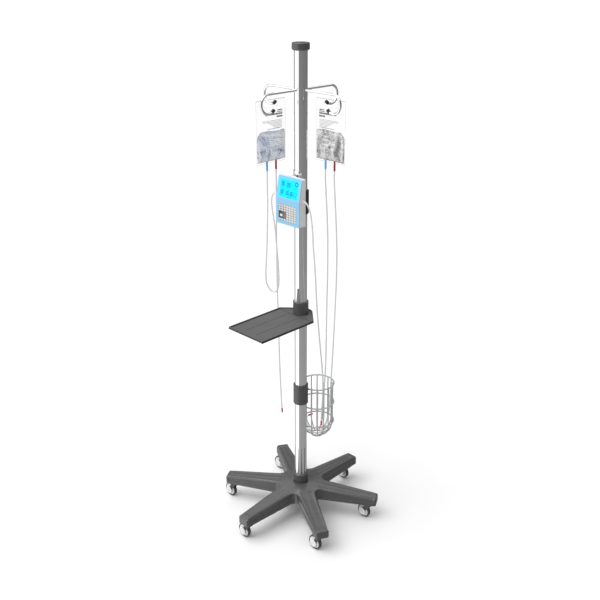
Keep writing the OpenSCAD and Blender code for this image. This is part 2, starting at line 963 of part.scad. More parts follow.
module pump_rotor() {
    color("orange")
        translate([0, rotor_y[1], rotor_z])
            rotate([90, 0, 0]) {
                cylinder(r = 18, h = 2);
                translate([0, 0, rotor_y[1] - rotor_y[0] - 2]) cylinder(r = 18, h = 2);
                cylinder(r = 6, h = rotor_y[1] - rotor_y[0]);
                translate([0, 0, -4.2]) cylinder(r = 2, h = 8, $fn = 48);
                for (k = [0:3])
                    rotate(45 + k * 90)
                        translate([rotor_r - 6, 0, 0])
                            cylinder(r = 6, h = rotor_y[1] - rotor_y[0]);
            }
}

module pump_segment() {
    color("whitesmoke")
        translate([-pump_w / 2, line_y, line_z])
            rotate([0, 90, 0])
                difference() {
                    cylinder(d = line_d, h = pump_w, $fn = 48);
                    translate([0, 0, -1]) cylinder(d = line_d - 2, h = pump_w + 2, $fn = 48);
                }
}

pump_clamp_r = 31.5;
pump_clamp_h = 92;

module pump_clamp() {
    color(black)
        difference() {
            union() {
                collar_ring(pump_clamp_z - pump_clamp_h / 2, pump_clamp_h, pump_clamp_r, pole_r + gap);
                translate([-22, -pump_back + 0.02, pump_clamp_z - 30]) cube([44, 16, 60]);
                rotate(knob_dir)
                    translate([pole_r + 1, 0, pump_clamp_z])
                        rotate([0, 90, 0])
                            cylinder(r = 9, h = 10);
            }
            translate([0, 0, pump_clamp_z - 60]) cylinder(r = pole_r + gap, h = 120);
            rotate(knob_dir)
                translate([pole_r - 1, 0, pump_clamp_z])
                    rotate([0, 90, 0])
                        cylinder(r = 4 + fit, h = 30);
        }
}

module pump_knob() {
    color(black)
        rotate(knob_dir)
            translate([pole_r + 0.3, 0, pump_clamp_z])
                clamp_knob(12);
}

bracket_z = [1504, 1536];

// Sheet-metal saddle that steadies the pump's head against the front of the pole
module pump_bracket() {
    color(chrome)
        difference() {
            union() {
                intersection() {
                    translate([0, 0, bracket_z[0]]) cylinder(r = pole_r + gap + 2.4, h = bracket_z[1] - bracket_z[0]);
                    translate([-40, -40, 0]) cube([70, 30, 3000]);
                }
                translate([-12, -pump_back + 0.02, bracket_z[0] - 20]) cube([24, 2.4, 36]);
                translate([-12, -pump_back + 0.02, bracket_z[0]]) cube([24, 14, 2.4]);
            }
            translate([0, 0, 1400]) cylinder(r = pole_r + gap, h = 200);
        }
}

base_moulding();
pole_collar();
pole_tube();
top_cap();
pole_plug();
base_bolt();
hook_block();
hook_arms();
hook_tips();
left_bag();
right_bag();
bag_ports();
pump_inlet_line();
left_drip_line();
right_blue_line();
right_red_line();
pump_outlet_line();
line_caps();
basket_clamp();
basket_rings();
basket_uprights();
basket_bowl();
basket_screw();
tray_bush();
tray_collar();
tray_plate();
tray_knob();
pump_face();
pump_shell();
pump_back_cover();
display_panel();
keypad();
stop_key();
start_key();
pump_clamp();
pump_bracket();
pump_knob();
main_board();
battery();
drive_motor();
pump_rotor();
pump_segment();
at_caster(0) fork();  // fork_1
at_caster(1) fork();  // fork_2
at_caster(2) fork();  // fork_3
at_caster(3) fork();  // fork_4
at_caster(4) fork();  // fork_5
at_caster(5) fork();  // fork_6
at_caster(0) hub();  // hub_1
at_caster(1) hub();  // hub_2
at_caster(2) hub();  // hub_3
at_caster(3) hub();  // hub_4
at_caster(4) hub();  // hub_5
at_caster(5) hub();  // hub_6
at_caster(0) tyre();  // tyre_1
at_caster(1) tyre();  // tyre_2
at_caster(2) tyre();  // tyre_3
at_caster(3) tyre();  // tyre_4
at_caster(4) tyre();  // tyre_5
at_caster(5) tyre();  // tyre_6
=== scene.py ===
"""Looks of the infusion stand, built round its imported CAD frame.

Metres, +Z up, the pole on the Z axis and the pump's front towards -Y.
"""

import math

import bpy
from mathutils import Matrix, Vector, noise


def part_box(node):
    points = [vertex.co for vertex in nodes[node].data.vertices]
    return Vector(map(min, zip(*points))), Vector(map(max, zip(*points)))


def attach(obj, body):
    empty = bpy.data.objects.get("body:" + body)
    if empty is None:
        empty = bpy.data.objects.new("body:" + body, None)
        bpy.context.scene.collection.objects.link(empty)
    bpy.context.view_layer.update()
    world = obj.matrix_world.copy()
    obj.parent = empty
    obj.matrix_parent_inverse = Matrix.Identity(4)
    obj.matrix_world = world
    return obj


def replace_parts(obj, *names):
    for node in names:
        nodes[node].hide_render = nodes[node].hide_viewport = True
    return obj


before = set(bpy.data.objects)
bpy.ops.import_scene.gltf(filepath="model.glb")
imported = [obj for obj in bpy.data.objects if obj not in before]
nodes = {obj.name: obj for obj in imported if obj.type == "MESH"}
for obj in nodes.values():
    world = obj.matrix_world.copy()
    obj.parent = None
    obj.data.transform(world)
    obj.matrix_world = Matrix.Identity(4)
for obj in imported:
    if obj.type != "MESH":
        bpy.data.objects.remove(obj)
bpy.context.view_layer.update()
MM = 0.001
CASTERS = range(1, 7)


# ---------------------------------------------------------------- camera

LENS_MM, SENSOR_MM = 50.64, 36.0
CAMERA_PLACE = (2.221, -2.221, 2.298)
CAMERA_DOWN, CAMERA_ROUND = 22.41, 45


def make_camera():
    data = bpy.data.cameras.new("camera")
    data.lens = LENS_MM
    data.sensor_width = SENSOR_MM
    data.shift_x = -0.0013
    data.clip_start = 0.05
    data.clip_end = 400.0
    camera = bpy.data.objects.new("camera", data)
    camera.location = CAMERA_PLACE
    camera.rotation_euler = (math.radians(90 - CAMERA_DOWN), 0, math.radians(CAMERA_ROUND))
    bpy.context.scene.collection.objects.link(camera)
    bpy.context.scene.camera = camera


make_camera()


# ---------------------------------------------------------------- materials

def new_material(name):
    material = bpy.data.materials.new(name)
    material.use_nodes = True
    return material, material.node_tree, material.node_tree.nodes["Principled BSDF"]


def node(tree, kind, **values):
    """A new shader node, with its settings or its input values."""
    made = tree.nodes.new(kind)
    for key, value in values.items():
        if hasattr(made, key):
            setattr(made, key, value)
        else:
            made.inputs[key.replace("_", " ")].default_value = value
    return made


def place(tree):
    """The point in the row frame, which is a piece's object coordinate."""
    return node(tree, "ShaderNodeTexCoord").outputs["Object"]


def axes(tree, source):
    """The X, Y and Z of a point or direction."""
    split = node(tree, "ShaderNodeSeparateXYZ")
    tree.links.new(source, split.inputs["Vector"])
    return split.outputs["X"], split.outputs["Y"], split.outputs["Z"]


def noise_of(tree, scale, detail=3.0, rough=0.5, stretch=None):
    source = place(tree)
    if stretch:
        mapping = node(tree, "ShaderNodeMapping", Scale=stretch)
        tree.links.new(source, mapping.inputs["Vector"])
        source = mapping.outputs["Vector"]
    cloud = node(tree, "ShaderNodeTexNoise", Scale=scale, Detail=detail, Roughness=rough)
    tree.links.new(source, cloud.inputs["Vector"])
    return cloud.outputs["Fac"]


def ramp(tree, source, stops):
    """A colour for each value of source; stops are (value, colour), from low to high."""
    band = node(tree, "ShaderNodeValToRGB")
    elements = band.color_ramp.elements
    while len(elements) < len(stops):
        elements.new(0.5)
    for item, (at, colour) in zip(elements, stops):
        item.position = at
        item.color = (*colour, 1.0)
    tree.links.new(source, band.inputs["Fac"])
    return band.outputs["Color"]


def ranged(tree, source, from_min, from_max, to_min, to_max):
    limits = {"From_Min": from_min, "From_Max": from_max, "To_Min": to_min, "To_Max": to_max}
    made = node(tree, "ShaderNodeMapRange", **limits)
    tree.links.new(source, made.inputs["Value"])
    return made.outputs["Result"]


def spread(tree, source, low, high):
    """Stretches the middle of a noise to run from low to high."""
    return ranged(tree, source, 0.3, 0.7, low, high)


def step_on(tree, source, low, high):
    """A soft step from 0 at low to 1 at high, or the other way round where high is the smaller."""
    made = node(tree, "ShaderNodeMapRange", interpolation_type="SMOOTHSTEP", From_Min=low, From_Max=high)
    tree.links.new(source, made.inputs["Value"])
    return made.outputs["Result"]


def maths(tree, operation, first, second=None):
    made = node(tree, "ShaderNodeMath", operation=operation)
    tree.links.new(first, made.inputs[0])
    if second is not None:
        tree.links.new(second, made.inputs[1])
    return made.outputs["Value"]


def feed(tree, socket, value):
    """Gives a socket a number, a colour or the output of another node."""
    if isinstance(value, float):
        socket.default_value = value
    elif isinstance(value, tuple):
        socket.default_value = (*value, 1.0)
    else:
        tree.links.new(value, socket)


def mix_colour(tree, factor, first, second):
    mix = node(tree, "ShaderNodeMix", data_type="RGBA")
    tree.links.new(factor, mix.inputs["Factor"])
    feed(tree, mix.inputs[6], first)
    feed(tree, mix.inputs[7], second)
    return mix.outputs[2]


def mix_value(tree, factor, first, second):
    mix = node(tree, "ShaderNodeMix", data_type="FLOAT")
    tree.links.new(factor, mix.inputs["Factor"])
    feed(tree, mix.inputs[2], first)
    feed(tree, mix.inputs[3], second)
    return mix.outputs[0]


def bump(tree, shader, source, distance, strength=1.0, below=None):
    made = node(tree, "ShaderNodeBump", Distance=distance, Strength=strength)
    tree.links.new(source, made.inputs["Height"])
    if below is not None:
        tree.links.new(below, made.inputs["Normal"])
    tree.links.new(made.outputs["Normal"], shader.inputs["Normal"])
    return made.outputs["Normal"]


def coat(shader, weight, rough):
    shader.inputs["Coat Weight"].default_value = weight
    shader.inputs["Coat Roughness"].default_value = rough


def glow(shader, colour, strength):
    shader.inputs["Emission Color"].default_value = (*colour, 1.0)
    shader.inputs["Emission Strength"].default_value = strength


def plastic(name, colour, rough=0.45, grain=900.0, depth=0.00006, vary=0.06, spots=18.0):
    """Moulded plastic: a fine grain, slow changes of tone and a gloss that isn't quite even."""
    material, tree, shader = new_material(name)
    slow = noise_of(tree, spots, 4.0)
    dark = tuple(c * (1 - vary) for c in colour)
    light = tuple(min(1.0, c * (1 + vary)) for c in colour)
    tree.links.new(ramp(tree, slow, [(0.3, dark), (0.7, light)]), shader.inputs["Base Color"])
    gloss = spread(tree, noise_of(tree, spots * 2.3, 5.0), rough - 0.05, rough + 0.07)
    tree.links.new(gloss, shader.inputs["Roughness"])
    bump(tree, shader, noise_of(tree, grain, 2.0), depth, 0.6)
    shader.inputs["IOR"].default_value = 1.46
    return material


def metal(name, colour, rough=0.12, vary=0.03, brush=None, depth=0.00002):
    """Metal with slow changes of tone and a mottled gloss; brush scales the mottle along each axis."""
    material, tree, shader = new_material(name)
    shader.inputs["Metallic"].default_value = 1.0
    slow = noise_of(tree, 30.0, 4.0)
    dark = tuple(c * 0.94 for c in colour)
    tree.links.new(ramp(tree, slow, [(0.25, dark), (0.75, colour)]), shader.inputs["Base Color"])
    fine = noise_of(tree, 260.0, 6.0, 0.6, brush)
    tree.links.new(spread(tree, fine, max(0.02, rough - vary), rough + vary), shader.inputs["Roughness"])
    if depth:
        bump(tree, shader, fine, depth, 0.3)
    return material


CHARCOAL = (0.08, 0.08, 0.082)
charcoal = plastic("charcoal_moulding", CHARCOAL, 0.3, 1100.0, 0.00004, 0.08, 14.0)
coat(charcoal.node_tree.nodes["Principled BSDF"], 0.35, 0.16)
tray_plastic = plastic("tray_plastic", (0.1, 0.1, 0.102), 0.5, 1400.0, 0.00007, 0.05, 10.0)
collar_plastic = plastic("collar_plastic", (0.085, 0.085, 0.087), 0.36, 1200.0, 0.00005, 0.06, 25.0)
black_plastic = plastic("black_plastic", (0.022, 0.022, 0.024), 0.38, 1500.0, 0.00005, 0.1, 40.0)
black_rubber = plastic("black_rubber", (0.018, 0.018, 0.018), 0.6, 1800.0, 0.0001, 0.15, 60.0)
chrome = metal("pole_chrome", (0.86, 0.865, 0.87), 0.045, 0.012, None, 0.0)
hook_chrome = metal("hook_chrome", (0.84, 0.845, 0.85), 0.1, 0.03)
zinc = metal("zinc_plate", (0.55, 0.56, 0.56), 0.38, 0.08, (1, 1, 12), 0.00004)
wire_paint = plastic("basket_paint", (0.54, 0.543, 0.547), 0.24, 1600.0, 0.00005, 0.05, 50.0)
cream = plastic("pump_cream", (0.80, 0.785, 0.76), 0.4, 1500.0, 0.00005, 0.025, 30.0)
face_blue = plastic("pump_face_blue", (0.285, 0.63, 0.93), 0.36, 1800.0, 0.00003, 0.025, 30.0)
hub_white = plastic("hub_white", (0.86, 0.86, 0.86), 0.28, 1500.0, 0.00003, 0.03, 60.0)
tyre_rubber = plastic("tyre_rubber", (0.075, 0.075, 0.078), 0.55, 2200.0, 0.00012, 0.12, 80.0)
bush_white = plastic("bush_white", (0.75, 0.75, 0.73), 0.4, 1500.0, 0.00004, 0.04, 60.0)
key_grey = plastic("key_grey", (0.2, 0.2, 0.205), 0.5, 1800.0, 0.00004, 0.06, 120.0)
key_white = plastic("key_white", (0.85, 0.85, 0.84), 0.45, 1800.0, 0.00003, 0.03, 120.0)
blue_port = plastic("port_blue", (0.15, 0.48, 0.98), 0.3, 1500.0, 0.00003, 0.05, 120.0)
red_port = plastic("port_red", (0.52, 0.015, 0.022), 0.3, 1500.0, 0.00003, 0.08, 120.0)
red_cap = plastic("cap_red", (0.62, 0.02, 0.03), 0.3, 1500.0, 0.00003, 0.08, 120.0)
board_green = plastic("board_green", (0.01, 0.12, 0.04), 0.4, 900.0, 0.00005, 0.3, 300.0)
cell_blue = plastic("cell_sleeve", (0.02, 0.06, 0.3), 0.25, 900.0, 0.00002, 0.1, 60.0)
rotor_orange = plastic("rotor_plastic", (0.6, 0.22, 0.03), 0.4, 900.0, 0.00004, 0.05, 60.0)
motor_steel = metal("motor_steel", (0.35, 0.35, 0.36), 0.35, 0.08, (1, 10, 1), 0.00004)


def tube_material():
    """Clear flexible tubing: milky, with a faint glow for the light that comes through, and a soft gloss."""
    material, tree, shader = new_material("clear_tubing")
    slow = noise_of(tree, 60.0, 3.0)
    milky = ramp(tree, slow, [(0.3, (0.5, 0.505, 0.51)), (0.7, (0.57, 0.575, 0.58))])
    tree.links.new(milky, shader.inputs["Base Color"])
    tree.links.new(spread(tree, noise_of(tree, 140.0), 0.16, 0.26), shader.inputs["Roughness"])
    glow(shader, (0.97, 0.985, 1.0), 0.21)
    shader.inputs["IOR"].default_value = 1.38
    coat(shader, 0.3, 0.1)
    bump(tree, shader, noise_of(tree, 240.0, 2.0), 0.0001, 0.3)
    return material


tubing = tube_material()


def paint(names, material):
    for name in names:
        data = nodes[name].data
        data.materials.clear()
        data.materials.append(material)


# ---------------------------------------------------------------- building helpers

def smoothstep(start, end, x):
    t = max(0.0, min(1.0, (x - start) / (end - start)))
    return t * t * (3 - 2 * t)


def piece(name, verts, faces, material, body="stand", smooth=True):
    """A mesh that rides a body of the frame. material is one material or a list of them."""
    data = bpy.data.meshes.new(name)
    data.from_pydata([tuple(v) for v in verts], [], faces)
    data.validate()
    if smooth:
        data.polygons.foreach_set("use_smooth", [True] * len(data.polygons))
    for item in material if isinstance(material, (list, tuple)) else [material]:
        data.materials.append(item)
    obj = bpy.data.objects.new(name, data)
    bpy.context.scene.collection.objects.link(obj)
    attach(obj, body)
    return obj


def catmull(points, steps):
    """A smooth path through the points, with this many steps between neighbours."""
    out = []
    n = len(points)
    for i in range(n - 1):
        a, b = points[max(i - 1, 0)], points[i]
        c, d = points[i + 1], points[min(i + 2, n - 1)]
        for k in range(steps):
            t = k / steps
            out.append(0.5 * (2 * b + (c - a) * t + (2 * a - 5 * b + 4 * c - d) * t * t
                              + (3 * b - a - 3 * c + d) * t * t * t))
    out.append(points[-1])
    return out


def along(path):
    return sum((b - a).length for a, b in zip(path, path[1:]))


def lathe(name, profile, origin, way, material, body="stand", sides=48):
    """A turned piece: profile is [(radius, distance along way)], in metres, from origin."""
    way = Vector(way).normalized()
    side = way.orthogonal().normalized()
    up = way.cross(side)
    verts, faces = [], []
    for r, h in profile:
        for k in range(sides):
            a = 2 * math.pi * k / sides
            verts.append(Vector(origin) + way * h + (side * math.cos(a) + up * math.sin(a)) * r)
    for i in range(len(profile) - 1):
        for k in range(sides):
            j = (k + 1) % sides
            faces.append((i * sides + k, i * sides + j, (i + 1) * sides + j, (i + 1) * sides + k))
    faces.append(tuple(range(sides - 1, -1, -1)))
    last = (len(profile) - 1) * sides
    faces.append(tuple(last + k for k in range(sides)))
    return piece(name, verts, faces, material, body)


def soften(names, width):
    """Rounds the sharp edges of CAD nodes without touching their own vertices."""
    for name in names:
        obj = nodes[name]
        weld = obj.modifiers.new("weld", "WELD")
        weld.merge_threshold = 0.00002
        flat = obj.modifiers.new("flat", "DECIMATE")
        flat.decimate_type = "DISSOLVE"
        flat.angle_limit = math.radians(0.6)
        bevel = obj.modifiers.new("bevel", "BEVEL")
        bevel.width = width
        bevel.segments = 2
        bevel.limit_method = "ANGLE"
        bevel.angle_limit = math.radians(35)
        bevel.harden_normals = False
        normal = obj.modifiers.new("normals", "WEIGHTED_NORMAL")
        normal.keep_sharp = True


# ---------------------------------------------------------------- cords

# Centre lines in mm, each from the port or socket that the line leaves.
LINE_R = 0.003
LINE_START = 1515.15
ROUTES = {
    "pump_inlet_line": [
        (-162, -24, LINE_START), (-162, -24, 1500), (-162, -24, 1460), (-162, -24, 1370), (-162, -27, 1290),
        (-162, -31, 1210), (-162, -36, 1140), (-162, -40, 1085), (-159, -38, 1040), (-150, -26, 1012),
        (-137, -16, 1004), (-124, -10, 1018), (-115, -12, 1060), (-110, -19, 1130), (-104, -32, 1210),
        (-102, -40, 1280), (-104, -46, 1330), (-107, -52, 1380), (-106, -54, 1410), (-100, -54, 1429),
        (-90, -52, 1438), (-79, -50, 1436), (-70, -50, 1433), (-63.2, -50, 1433),
    ],
    "left_drip_line": [
        (-162, 24, LINE_START), (-162, 24, 1500), (-162, 24, 1460), (-162, 24, 1380), (-162, 23, 1300),
        (-162, 22, 1220), (-162, 22, 1140), (-162, 23, 1060), (-162, 24, 980), (-162, 26, 900),
        (-162, 28, 820), (-162, 30, 740), (-162, 32, 660), (-162, 35, 580), (-162, 39, 500),
        (-162, 44, 420),
    ],
    "right_blue_line": [
        (-24, 162, LINE_START), (-24, 162, 1500), (-24, 162, 1465), (-14, 162, 1340), (-8, 162, 1240),
        (-6, 162, 1140), (-6, 162, 1040), (-5, 159, 940), (-1, 154, 840), (6, 146, 740),
        (12, 138, 660), (16, 130, 600), (18, 124, 540), (21, 121, 480), (24, 118, 430),
        (27, 110, 390), (27, 98, 363), (20, 86, 355), (4, 78, 354), (-14, 84, 354),
        (-22, 98, 355), (-18, 114, 356), (-6, 122, 358),
    ],
    "right_red_line": [
        (24, 162, LINE_START), (24, 162, 1500), (24, 162, 1465), (34, 162, 1340), (41, 162, 1240),
        (45, 161, 1160), (46, 160, 1060), (45, 157, 960), (44, 154, 860), (43, 150, 760),
        (42, 146, 680), (42, 142, 610), (42, 138, 540), (43, 132, 470), (43, 120, 420),
        (42, 104, 384), (37, 84, 368), (20, 66, 365), (-4, 60, 365), (-28, 70, 370),
        (-46, 84, 384), (-56, 94, 398), (-58.5, 101, 403), (-56.5, 108, 404.5),
    ],
    "pump_outlet_line": [
        (63.2, -50, 1433), (70, -50, 1433), (77, -50, 1431),
        (84, -48, 1423), (89, -44, 1408), (93, -39, 1380),
        (95, -32, 1320), (93, -26, 1260), (90, -15, 1190), (84, -2, 1110), (78, 9, 1040),
        (72, 22, 960), (64, 40, 870), (55, 60, 780), (47, 78, 700), (41, 90, 640),
        (38, 97, 600), (36, 99, 560), (34, 98, 520), (32, 97, 480), (31, 96, 450), (30.5, 95.5, 413),
    ],
}


def make_line(name):
    path = catmull([Vector(p) * MM for p in ROUTES[name]], 8)
    curve = bpy.data.curves.new(name + "_tube", "CURVE")
    curve.dimensions = "3D"
    curve.bevel_depth = LINE_R
    curve.bevel_resolution = 5
    curve.use_fill_caps = True
    spline = curve.splines.new("POLY")
    spline.points.add(len(path) - 1)
    for p, co in zip(spline.points, path):
        p.co = (*co, 1.0)
    spline.use_smooth = True
    curve.materials.append(tubing)
    obj = bpy.data.objects.new(name + "_tube", curve)
    bpy.context.scene.collection.objects.link(obj)
    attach(obj, "stand")
    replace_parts(obj, name)
    return obj, path


CAP_PROFILE = [
    (0.0005, -4.0), (3.35, -4.0), (3.6, -3.6), (3.6, 1.0), (3.8, 1.3), (3.8, 6.0), (3.45, 6.6), (3.45, 15.5),
    (3.0, 18.0), (1.8, 19.0), (0.0005, 19.1),
]


def make_cap(name, path):
    """A red cap over the last millimetres of a line."""
    way = (path[-1] - path[-2]).normalized()
    profile = [(r * MM, h * MM) for r, h in CAP_PROFILE]
    return lathe(name, profile, path[-1], way, red_cap, sides=24)


lines, caps = {}, {}
for line_name in ROUTES:
    lines[line_name] = make_line(line_name)
for line_name in ("left_drip_line", "right_blue_line", "right_red_line", "pump_outlet_line"):
    caps[line_name] = make_cap(line_name + "_cap", lines[line_name][1])
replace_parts(caps["left_drip_line"], "line_caps")

for line_name, (line_obj, line_path) in lines.items():
    capped = line_name in caps
    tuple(line_path[0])
    along(line_path)


# ---------------------------------------------------------------- bags

# Sizes in mm. On a bag, u runs across from its middle and v runs up from its lower edge.
BAG_W, BAG_H = 156.0, 245.0
HALF_W = BAG_W / 2
BAG_BOTTOM = 1536.35
HEADER = 26.0
CORNER_R = 7.0
FLUID_SIDE = 4.0
FILL_LOW, FILL_HIGH = 7.0, 125.0
CUT_CORNER, OTHER_CORNER = 17.0, 6.0
DIAGONAL = 0.7
SLOT_V, SLOT_HALF, SLOT_R = 224.5, 24.5, 8.5
SNAP_IN, SNAP_OUT = 1.1, 2.6
WELD_W, SLOT_RIM = 2.6, 2.2
FILM_CELL, FLUID_CELL = 1.95, 1.5
FLUID_U = (-HALF_W + 3.0, HALF_W - 3.0)
FLUID_V = (6.0, 129.0)
PRINT_STEP, PRINT_LIFT = 3.0, 0.3


def wobble(x, y, z):
    return noise.noise(Vector((x, y, z)))


def fluid_edge(u, v, lean):
    """How far in from the filled part's outline a point is, in mm. lean is the side with the cut corner."""
    top = FILL_HIGH - 2.0 * math.sin(u * 0.05)
    inside = min(HALF_W - FLUID_SIDE - abs(u), v - FILL_LOW, top - v)
    corner = (HALF_W - FLUID_SIDE - lean * u) + (FILL_HIGH - v)
    other = (HALF_W - FLUID_SIDE + lean * u) + (FILL_HIGH - v)
    wave = 1.7 * wobble(u / 14.0, v / 14.0, lean * 4.3) + 0.8 * wobble(u / 5.0, v / 5.0, lean * 2.1)
    return min(inside, (corner - CUT_CORNER) * DIAGONAL, (other - OTHER_CORNER) * DIAGONAL) + wave - 0.6


def crinkle(u, v, seed, size):
    """Ridged noise, folded by a slower one, for creases about this size in mm."""
    p = Vector((u / size + seed, v / size, seed * 0.37))
    fold = noise.noise(p * 0.45 + Vector((3.1, 0, 0))) * 1.6
    return noise.ridged_multi_fractal(p + Vector((fold, -fold, 0)), 0.9, 2.1, 3, 0.95, 2.0) - 1.1


def fluid_half(u, v, seed, lean):
    """Half the thickness of the filled part, in mm."""
    inside = fluid_edge(u, v, lean)
    if inside <= 0:
        return 0.0
    sag = math.exp(-((v - 42.0) / 52.0) ** 2)
    across = max(0.0, 1 - (u / (HALF_W - 2.0)) ** 2) ** 0.6
    full = (2.6 + 13.0 * sag) * across ** 0.7
    body = full * min(1.0, math.sqrt(inside / 26.0)) + 0.25
    pucker = 0.9 * math.sin(u * 0.62 + 2.0 * math.sin(u * 0.11 + seed)) * math.exp(-((v - FILL_LOW) / 13.0))
    pucker += 0.7 * math.sin(v * 0.55 + seed) * math.exp(-((HALF_W - abs(u)) / 12.0))
    ridges = 1.5 * crinkle(u, v, seed, 24.0) + 0.6 * crinkle(u, v, seed + 5.0, 9.0)
    return max(0.15, body + (pucker + ridges) * smoothstep(0.0, 9.0, inside))


def film_half(u, v, seed, lean):
    """Half the distance between the two films, in mm."""
    from_weld = min(HALF_W - abs(u), v, BAG_H - HEADER - v)
    fluid = fluid_half(u, v, seed, lean)
    if from_weld <= 3.0:
        return 0.3
    slack = 1.5 + 0.8 * wobble(u * 0.02, v * 0.012, seed)
    slack += 0.3 * crinkle(u, v, seed + 9.0, 30.0) * smoothstep(190.0, 140.0, v)
    air = max(0.1, slack) * smoothstep(3.0, 30.0, from_weld)
    return 0.3 + max(air, fluid + 0.35 if fluid > 0 else 0.0)


def slot_distance(u, v):
    return math.hypot(max(0.0, abs(u) - SLOT_HALF), v - SLOT_V)


def round_corner(u, v):
    """The outline's corners are round: a point near one is pulled in."""
    corner_u = HALF_W - CORNER_R
    for side, corner_v in ((1, BAG_H - CORNER_R), (-1, CORNER_R)):
        du, dv = abs(u) - corner_u, side * (v - corner_v)
        if du > 0 and dv > 0:
            pull = max(du, dv) / math.hypot(du, dv)
            return math.copysign(corner_u + du * pull, u), corner_v + side * dv * pull
    return u, v


def round_outline(u, v):
    """Moves the points near the corners and near the slot so that both come out round."""
    u, v = round_corner(u, v)
    d = slot_distance(u, v)
    if 0 < d < SLOT_R + SNAP_OUT:
        k = (SLOT_R + (SNAP_OUT * max(0.0, d - SLOT_R + SNAP_IN) / (SNAP_OUT + SNAP_IN))) / d
        middle = math.copysign(min(abs(u), SLOT_HALF), u)
        return middle + (u - middle) * k, SLOT_V + (v - SLOT_V) * k
    return u, v


def bag_sheets(half, keep, step, turn, at, u_lim, v_lim, shift=None):
    """Two grids, front and back, joined along their outline. keep says which cells are there.

    Gives the points, the faces, the middle of each face's cell and the place of each point on the bag.
    """
    nu = round((u_lim[1] - u_lim[0]) / step)
    nv = round((v_lim[1] - v_lim[0]) / step)
    index, verts, faces, middles, where = {}, [], [], [], []

    def vert(i, j, side, edge):
        key = (i, j, 0 if edge else side)
        if key not in index:
            u = u_lim[0] + (u_lim[1] - u_lim[0]) * i / nu
            v = v_lim[0] + (v_lim[1] - v_lim[0]) * j / nv
            if shift:
                u, v = shift(u, v)
            index[key] = len(verts)
            where.append((u, v))
            verts.append(at(u, v, 0.0 if edge else side * half(u, v)))
        return index[key]

    cells = {(i, j) for i in range(nu) for j in range(nv)
             if keep(u_lim[0] + (u_lim[1] - u_lim[0]) * (i + 0.5) / nu,
                     v_lim[0] + (v_lim[1] - v_lim[0]) * (j + 0.5) / nv)}

    def is_edge(i, j):
        return any((i + a, j + b) not in cells for a in (-1, 0) for b in (-1, 0))

    for i, j in sorted(cells):
        corners = [(i, j), (i + 1, j), (i + 1, j + 1), (i, j + 1)]
        for side in (1, -1):
            ids = [vert(a, b, side, is_edge(a, b)) for a, b in corners]
            if turn * side < 0:
                ids.reverse()
            faces.append(tuple(ids))
            middles.append(((i + 0.5) * step + u_lim[0], (j + 0.5) * step + v_lim[0]))
    return verts, faces, middles, where


def film_material(name, alpha, rough, colour=(0.9, 0.905, 0.91)):
    material, tree, shader = new_material(name)
    dark = tuple(c * 0.93 for c in colour)
    tinted = ramp(tree, noise_of(tree, 40.0, 4.0), [(0.3, dark), (0.7, colour)])
    tree.links.new(tinted, shader.inputs["Base Color"])
    tree.links.new(spread(tree, noise_of(tree, 120.0), rough, rough + 0.12), shader.inputs["Roughness"])
    shader.inputs["Alpha"].default_value = alpha
    shader.inputs["IOR"].default_value = 1.4
    bump(tree, shader, noise_of(tree, 60.0, 2.0), 0.0002, 0.3)
    return material


def to_segment(u, v, start, end):
    du, dv = end[0] - start[0], end[1] - start[1]
    t = max(0.0, min(1.0, ((u - start[0]) * du + (v - start[1]) * dv) / (du * du + dv * dv)))
    return math.hypot(u - start[0] - du * t, v - start[1] - dv * t)


def painted_pouch_light(u, v, seed, lean, fold_shading, painted_spots):
    """How bright the crumpled pouch looks at a point, 0 dark and 1 white: painted reflections, painted light
    coming through and painted shade in the creases.

    A fold is (points, width, change of painted tone). A mark is (u, v, half width, half height, change of
    painted tone).
    """
    # The noise terms paint the broken reflections and the light coming through the crumples.
    p = Vector((u / 30.0 + seed, v / 30.0, seed))
    bend = noise.noise(p * 1.3) * 1.2
    t = 0.76 + 0.26 * noise.noise(p * 1.1 + Vector((bend, -bend, 0)))
    t += 0.22 * crinkle(u, v, seed + 2.0, 11.0) + 0.26 * wobble(u / 5.0, v / 5.0, seed + bend)
    t += 0.12 * math.sin(v * 0.9 + 2.5 * bend + u * 0.04) * smoothstep(50.0, 80.0, v)
    t += 0.12 * math.sin(u * 0.8 + 3.0 * bend) * smoothstep(60.0, 30.0, v)
    # Folds add painted shade and painted highlights along their creases; marks add painted dark spots and
    # painted bright patches.
    for points, width, change in fold_shading:
        d = min(to_segment(u, v, start, end) for start, end in zip(points, points[1:]))
        t += change * math.exp(-(d / width) ** 2)
    for mark_u, mark_v, half_u, half_v, change in painted_spots:
        t += change * math.exp(-(((u - mark_u) / half_u) ** 2 + ((v - mark_v) / half_v) ** 2) ** 1.5)
    # Painted shade along the filled part's edge.
    t -= 0.4 * math.exp(-(fluid_edge(u, v, lean) / 2.2) ** 2)
    return max(0.0, min(1.0, t))


